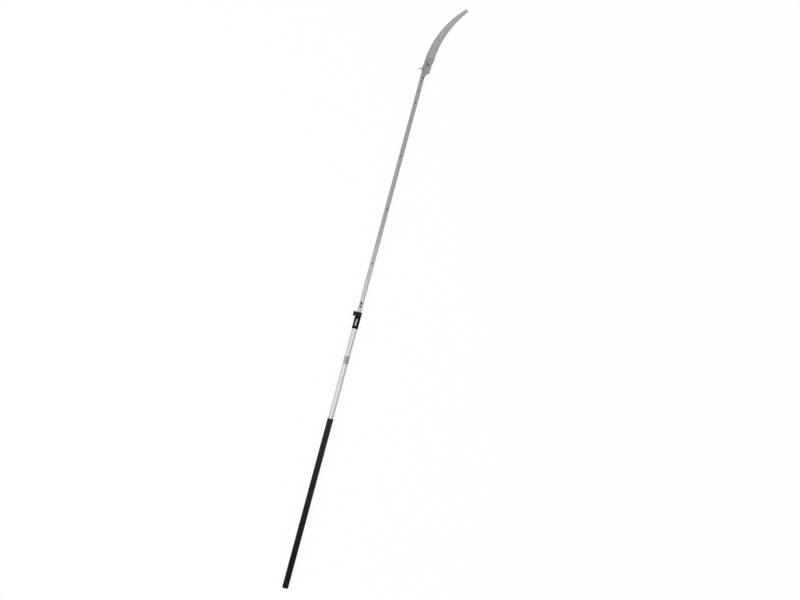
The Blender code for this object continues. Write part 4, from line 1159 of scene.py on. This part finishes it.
def make_hook(colours):
    steel = plated_steel("hook_steel", colours.holder)
    rubbed = plated_steel("hook_steel_edges", colours.holder, 0.9)
    shape = drilled(slab(from_head(HOOK_CORNERS), -HOOK_HALF, HOOK_HALF), [HOOK_RIVET], RIVET_HOLE_RADIUS)
    piece(
        "branch_hook_plate", shape, [steel, rubbed], "upper_pole", "holder_steel", ["branch_hook"],
        edge=HOOK_EDGE, edge_steps=3, edge_angle=40,
    )


# Blade

BLADE_HALF = 0.00075
BLADE_STEPS = (72, 8)
TAPER_START, TAPER_REACH = 0.03, 0.2
BACK_RADIUS = 0.6074
BACK_ENDS = (Vector((0.1546, 0.0101)), Vector((0.5178, -0.1606)))
TOOTH_RADIUS = 0.6500
TOOTH_ENDS = (Vector((0.1650, -0.0467)), Vector((0.4985, -0.1738)))
TOOTH_PITCH = 0.0062
TOOTH_DEPTH = 0.0034
TOOTH_ROOT = 0.0006
TOOTH_LEAN = 0.3
GULLET_RADIUS = TOOTH_RADIUS + TOOTH_DEPTH
TANG_CORNERS = (
    (0.0980, 0.0101, 0.004), (0.0815, -0.004, 0.003), (0.0565, -0.004, 0.003), (0.0565, -0.031, 0.003),
    (0.1115, -0.0335, 0.0), (0.1115, -0.0407, 0.0025), (0.1430, -0.0455, 0.012), (0.1616, -0.0455, 0.0),
    (0.1665, -0.0409, 0.0), (0.1600, 0.0070, 0.0), (0.1546, 0.0101, 0.0),
)


def arc_over(ends, radius):
    """Centre of the arc that rises over two places, and the angles of both."""
    first, last = ends
    half = (last - first) / 2
    down = Vector((half.y, -half.x)).normalized()
    centre = first + half + down * sqrt(radius ** 2 - half.length_squared)
    return centre, *(atan2(end.y - centre.y, end.x - centre.x) for end in ends)


def on_arc(centre, radius, angle):
    """A place on an arc whose centre is measured from the upper tube's end."""
    return Vector((HEAD + centre.x + radius * cos(angle), centre.y + radius * sin(angle)))


def make_blade(sizes, colours):
    back_centre, back_first, back_last = arc_over(BACK_ENDS, BACK_RADIUS)
    tooth_centre, tooth_first, tooth_last = arc_over(TOOTH_ENDS, TOOTH_RADIUS)
    body = bmesh.new()
    bmesh.ops.create_grid(body, x_segments=BLADE_STEPS[0], y_segments=BLADE_STEPS[1], size=0.5)
    for vert in body.verts:
        along, across = vert.co.x + 0.5, vert.co.y + 0.5
        reach = GULLET_RADIUS if along < 1 - HAIR else TOOTH_RADIUS
        toothed = on_arc(tooth_centre, reach, tooth_first + (tooth_last - tooth_first) * along)
        back = on_arc(back_centre, BACK_RADIUS, back_first + (back_last - back_first) * along)
        place = toothed.lerp(back, across)
        thinned = sizes.blade_taper * min(max(along - TAPER_START, 0.0) / TAPER_REACH, 1.0) * across
        vert.co = (place.x, place.y, BLADE_HALF * (1 - thinned))
    copy = bmesh.ops.duplicate(body, geom=body.faces[:] + body.edges[:] + body.verts[:])["geom"]
    other = [item for item in copy if isinstance(item, bmesh.types.BMVert)]
    bmesh.ops.scale(body, vec=(1.0, 1.0, -1.0), verts=other)
    rims = [edge for edge in body.edges if edge.is_boundary]
    bmesh.ops.bridge_loops(body, edges=rims)
    bmesh.ops.recalc_face_normals(body, faces=body.faces[:])
    tang = slab(from_head(TANG_CORNERS), -BLADE_HALF, BLADE_HALF)
    plate = combined(body, [drilled(tang, BOLT_PLACES, BOLT_HOLE_RADIUS)], "UNION")
    teeth = saw_teeth(tooth_centre, tooth_first, tooth_last)
    steel = ground_steel(colours.blade, on_arc(tooth_centre, 0.0, 0.0), on_arc(back_centre, 0.0, 0.0))
    piece(
        "saw_blade", joined([plate, teeth]), [steel], "upper_pole", "blade_steel", ["blade"],
        edge=sizes.blade_edge, edge_angle=40,
    )


def saw_teeth(centre, first, last):
    """The row of teeth: each is ground to a point on one face of the blade, and the next on the other.

    A tooth's corners are given as (share of its pitch, radius, height).
    """
    count = round((first - last) * TOOTH_RADIUS / TOOTH_PITCH)
    step = (last - first) / count
    middle = on_arc(centre, 0.0, 0.0)
    root = GULLET_RADIUS + TOOTH_ROOT
    rows = []
    for side, place in ((1, 0), (-1, 1)):
        tooth = bmesh.new()
        near, far = side * (BLADE_HALF + HAIR / 2), -side * (BLADE_HALF + HAIR / 2)
        corners = [
            (0.0, GULLET_RADIUS, near), (0.10, GULLET_RADIUS, far), (1.0, GULLET_RADIUS, near),
            (0.94, GULLET_RADIUS, far), (0.0, root, near), (0.10, root, far), (1.0, root, near),
            (0.94, root, far), (TOOTH_LEAN, TOOTH_RADIUS, near),
            (TOOTH_LEAN + 0.05, TOOTH_RADIUS, near * 0.7), (TOOTH_LEAN + 0.12, TOOTH_RADIUS + 0.0011, far),
        ]
        for share, radius, height in corners:
            spot = on_arc(centre, radius, first + step * (place + share))
            tooth.verts.new((spot.x, spot.y, height))
        bmesh.ops.convex_hull(tooth, input=tooth.verts[:])
        repeats = (count - place + 1) // 2 - 1
        bmesh.ops.spin(
            tooth, geom=tooth.verts[:] + tooth.edges[:] + tooth.faces[:], cent=(middle.x, middle.y, 0.0),
            axis=UPWARDS, angle=2 * step * repeats, steps=repeats, use_duplicate=True,
        )
        bmesh.ops.recalc_face_normals(tooth, faces=tooth.faces[:])
        rows.append(tooth)
    return joined(rows)


# Studio

FLOOR_HALF = 60.0
FLOOR_DROP = 0.0001
FLOOR_MIDDLE = 1.87
WORLD_STRENGTH = 0.8
CAMERA_PLACE = Vector((1.3064, -0.1834, 5.996))
CAMERA_RIGHT = Vector((0.25536, -0.96639, 0.02966))
CAMERA_UP = Vector((0.96259, 0.25699, 0.08582))
CAMERA_LENS, CAMERA_SENSOR = 43.97, 36.0
CAMERA_SIGHT = 200.0
# Place, aim, size, power, and whether gloss mirrors it
LAMPS = {
    "overhead_softbox": ((1.25, 1.15, 7.5), (1.25, 1.0, 0.0), (2.4, 4.1), 30.0, True),
    "side_softbox": ((0.9, 6.0, 1.7), (0.9, 0.0, 0.0), (2.6, 2.4), 11.0, True),
    "key_softbox": ((0.6, 3.4, 5.2), (1.9, 0.0, 0.0), (3.0, 3.0), 70.0, False),
}


def make_studio(colours):
    sheet = bmesh.new()
    bmesh.ops.create_grid(sheet, x_segments=1, y_segments=1, size=FLOOR_HALF)
    bmesh.ops.translate(sheet, verts=sheet.verts[:], vec=(FLOOR_MIDDLE, 0.0, CAD_BOX[0].z - FLOOR_DROP))
    floor = to_object("studio_floor", sheet)
    paper = Finish("floor_paper")
    plain = paper.node("ShaderNodeBsdfDiffuse", values={"Color": (*colours.floor, 1.0)})
    paper.end("ShaderNodeOutputMaterial", paper.seen_white("ShaderNodeEmission", plain))
    floor.data.materials.append(paper.material)

    scene = bpy.context.scene
    scene.world = bpy.data.worlds.new("studio_air")
    scene.world.use_nodes = True
    air = Nodes(scene.world.node_tree)
    glow = {"Color": (1.0, 1.0, 1.0, 1.0), "Strength": WORLD_STRENGTH}
    soft = air.node("ShaderNodeBackground", values=glow)
    air.end("ShaderNodeOutputWorld", air.seen_white("ShaderNodeBackground", soft))

    for name, (place, target, size, power, mirrored) in LAMPS.items():
        light = bpy.data.lights.new(name, "AREA")
        light.shape = "RECTANGLE"
        light.size, light.size_y = size
        light.energy = power
        lamp = bpy.data.objects.new(name, light)
        lamp.location = place
        lamp.rotation_euler = (Vector(target) - Vector(place)).to_track_quat("-Z", "Y").to_euler()
        lamp.visible_glossy = mirrored
        scene.collection.objects.link(lamp)

    view = bpy.data.cameras.new("photo_camera")
    view.lens = CAMERA_LENS
    view.sensor_width = CAMERA_SENSOR
    view.clip_end = CAMERA_SIGHT
    camera = bpy.data.objects.new("photo_camera", view)
    back = CAMERA_RIGHT.cross(CAMERA_UP)
    turn = Matrix((CAMERA_RIGHT, CAMERA_UP, back)).transposed().to_4x4()
    camera.matrix_world = Matrix.Translation(CAMERA_PLACE) @ turn
    scene.collection.objects.link(camera)
    scene.camera = camera
    scene.view_settings.view_transform = "Standard"


# Add-on

def length(name, description, default):
    """A size in metres that the panel shows."""
    return FloatProperty(
        name=name, description=description, default=default, min=0.0, unit="LENGTH", precision=5
    )


def colour(name, description, default):
    """A colour that the panel shows."""
    return FloatVectorProperty(
        name=name, description=description, default=default, size=3, min=0.0, max=1.0, subtype="COLOR"
    )


class PoleSawSizes(PropertyGroup):
    """Roundings and softened edges, in metres"""

    cap_round: length("Butt rounding", "Radius of the butt cap's outer corner", 0.004)
    grip_rim: length("Grip rim", "Rounding of the sleeve's ends", 0.0007)
    tube_rim: length("Tube rim", "Softening of cut tube ends and of the index holes", 0.00025)
    lock_end_round: length("Collar ends", "Rounding of the lock collar's two ends", 0.0014)
    lock_edge: length("Collar edges", "Softening of the edges inside the collar", 0.0003)
    plate_edge: length("Plate edges", "Rounding of the blade holder's pressed edges", 0.0005)
    blade_edge: length("Blade edges", "Softening of the blade's back", 0.00006)
    blade_taper: FloatProperty(
        name="Blade taper", description="Share of the blade's thickness ground away towards its back",
        default=0.22, min=0.0, max=0.6, subtype="FACTOR",
    )


class PoleSawColours(PropertyGroup):
    """The base colour of each finish"""

    grip: colour("Grip", "Black rubber of the sleeve and butt cap", (0.0125, 0.0121, 0.0118))
    lower_tube: colour("Lower tube", "Pale anodised aluminium", (0.56, 0.56, 0.55))
    upper_tube: colour("Upper tube", "Grey anodised aluminium", (0.345, 0.340, 0.329))
    band: colour("Band", "Film wrapped round the lower tube", (0.26, 0.26, 0.255))
    bush: colour("Bushes", "Guide bushes between the tubes", (0.45, 0.45, 0.43))
    lock: colour("Lock", "Black moulded plastic of the lock", (0.0045, 0.0045, 0.0043))
    panel: colour("Panel", "Pale field of the rocker's panel", (0.49, 0.472, 0.455))
    blade: colour("Blade", "Ground saw steel", (0.375, 0.37, 0.357))
    holder: colour("Holder", "Plated steel of the holder and hook", (0.345, 0.338, 0.327))
    zinc: colour("Zinc", "Zinc plating of bolts, washers and pins", (0.45, 0.45, 0.44))
    # Painted shade: the upper bolt is painted in this dark, and the rivets in tones of it
    dark: colour("Dark fasteners", "Blackened steel of the rivets and the upper bolt", (0.06, 0.058, 0.055))
    floor: colour("Floor", "Paper under the saw", (0.95, 0.95, 0.95))


class GripOperator(Operator):
    """Makes the rubber sleeve and the butt cap"""

    bl_idname = "pole_saw.grip"
    bl_label = "Grip and Butt Cap"

    def execute(self, context):
        make_grip(context.scene.pole_saw_sizes, context.scene.pole_saw_colours)
        return {"FINISHED"}


class LowerTubeOperator(Operator):
    """Makes the lower tube, its band and the guide bush in its mouth"""

    bl_idname = "pole_saw.lower_tube"
    bl_label = "Lower Tube"

    def execute(self, context):
        make_lower_tube(context.scene.pole_saw_sizes, context.scene.pole_saw_colours)
        return {"FINISHED"}


class UpperTubeOperator(Operator):
    """Makes the upper tube with its index holes, and its guide bush"""

    bl_idname = "pole_saw.upper_tube"
    bl_label = "Upper Tube"

    def execute(self, context):
        make_upper_tube(context.scene.pole_saw_sizes, context.scene.pole_saw_colours)
        return {"FINISHED"}


class LockCollarOperator(Operator):
    """Makes the lock's collar and the screws in its back"""

    bl_idname = "pole_saw.lock_collar"
    bl_label = "Lock Collar"

    def execute(self, context):
        make_lock_collar(context.scene.pole_saw_sizes, context.scene.pole_saw_colours)
        return {"FINISHED"}


class IndexRockerOperator(Operator):
    """Makes the index rocker with its panel, pins and leaf spring"""

    bl_idname = "pole_saw.index_rocker"
    bl_label = "Index Rocker"

    def execute(self, context):
        make_index_rocker(context.scene.pole_saw_colours)
        return {"FINISHED"}


class ClampLeverOperator(Operator):
    """Makes the flip lever with its finger tab, its pin and its pad"""

    bl_idname = "pole_saw.clamp_lever"
    bl_label = "Clamp Lever"

    def execute(self, context):
        make_clamp_lever(context.scene.pole_saw_colours)
        return {"FINISHED"}


class HolderOperator(Operator):
    """Makes the two pressed plates that grip the blade"""

    bl_idname = "pole_saw.holder"
    bl_label = "Blade Holder"

    def execute(self, context):
        make_holder(context.scene.pole_saw_sizes, context.scene.pole_saw_colours)
        return {"FINISHED"}


class CoreOperator(Operator):
    """Makes the core that joins the upper tube to the holder"""

    bl_idname = "pole_saw.core"
    bl_label = "Head Core"

    def execute(self, context):
        make_core(context.scene.pole_saw_colours)
        return {"FINISHED"}


class RivetsOperator(Operator):
    """Makes the rivets of the tube, the holder and the hook"""

    bl_idname = "pole_saw.rivets"
    bl_label = "Rivets"

    def execute(self, context):
        make_rivets(context.scene.pole_saw_colours)
        return {"FINISHED"}


class BoltsOperator(Operator):
    """Makes the two blade bolts with their washers and nuts"""

    bl_idname = "pole_saw.bolts"
    bl_label = "Blade Bolts"

    def execute(self, context):
        make_bolts(context.scene.pole_saw_colours)
        return {"FINISHED"}


class BladeOperator(Operator):
    """Makes the curved blade and its teeth"""

    bl_idname = "pole_saw.blade"
    bl_label = "Blade"

    def execute(self, context):
        make_blade(context.scene.pole_saw_sizes, context.scene.pole_saw_colours)
        return {"FINISHED"}


class HookOperator(Operator):
    """Makes the branch hook"""

    bl_idname = "pole_saw.hook"
    bl_label = "Branch Hook"

    def execute(self, context):
        make_hook(context.scene.pole_saw_colours)
        return {"FINISHED"}


class StudioOperator(Operator):
    """Makes the floor, the lamps and the camera"""

    bl_idname = "pole_saw.studio"
    bl_label = "Studio"

    def execute(self, context):
        make_studio(context.scene.pole_saw_colours)
        return {"FINISHED"}


OPERATORS = (
    GripOperator, LowerTubeOperator, UpperTubeOperator, LockCollarOperator, IndexRockerOperator,
    ClampLeverOperator, HolderOperator, CoreOperator, RivetsOperator, BoltsOperator, BladeOperator,
    HookOperator, StudioOperator,
)


class PoleSawPanel(Panel):
    """Lists the saw's pieces, sizes and colours"""

    bl_idname = "VIEW3D_PT_pole_saw"
    bl_label = "Pole Saw"
    bl_space_type = "VIEW_3D"
    bl_region_type = "UI"
    bl_category = "Pole Saw"

    def draw(self, context):
        for group in (context.scene.pole_saw_sizes, context.scene.pole_saw_colours):
            box = self.layout.box()
            for name in group.__annotations__:
                box.prop(group, name)
        for operator in OPERATORS:
            self.layout.operator(operator.bl_idname)


CLASSES = (PoleSawSizes, PoleSawColours, *OPERATORS, PoleSawPanel)


def register():
    for item in CLASSES:
        bpy.utils.register_class(item)
    bpy.types.Scene.pole_saw_sizes = PointerProperty(type=PoleSawSizes)
    bpy.types.Scene.pole_saw_colours = PointerProperty(type=PoleSawColours)


def unregister():
    del bpy.types.Scene.pole_saw_colours
    del bpy.types.Scene.pole_saw_sizes
    for item in reversed(CLASSES):
        bpy.utils.unregister_class(item)


def main():
    register()
    for operator in OPERATORS:
        group, name = operator.bl_idname.split(".")
        getattr(getattr(bpy.ops, group), name)()


if __name__ == "__main__":
    main()
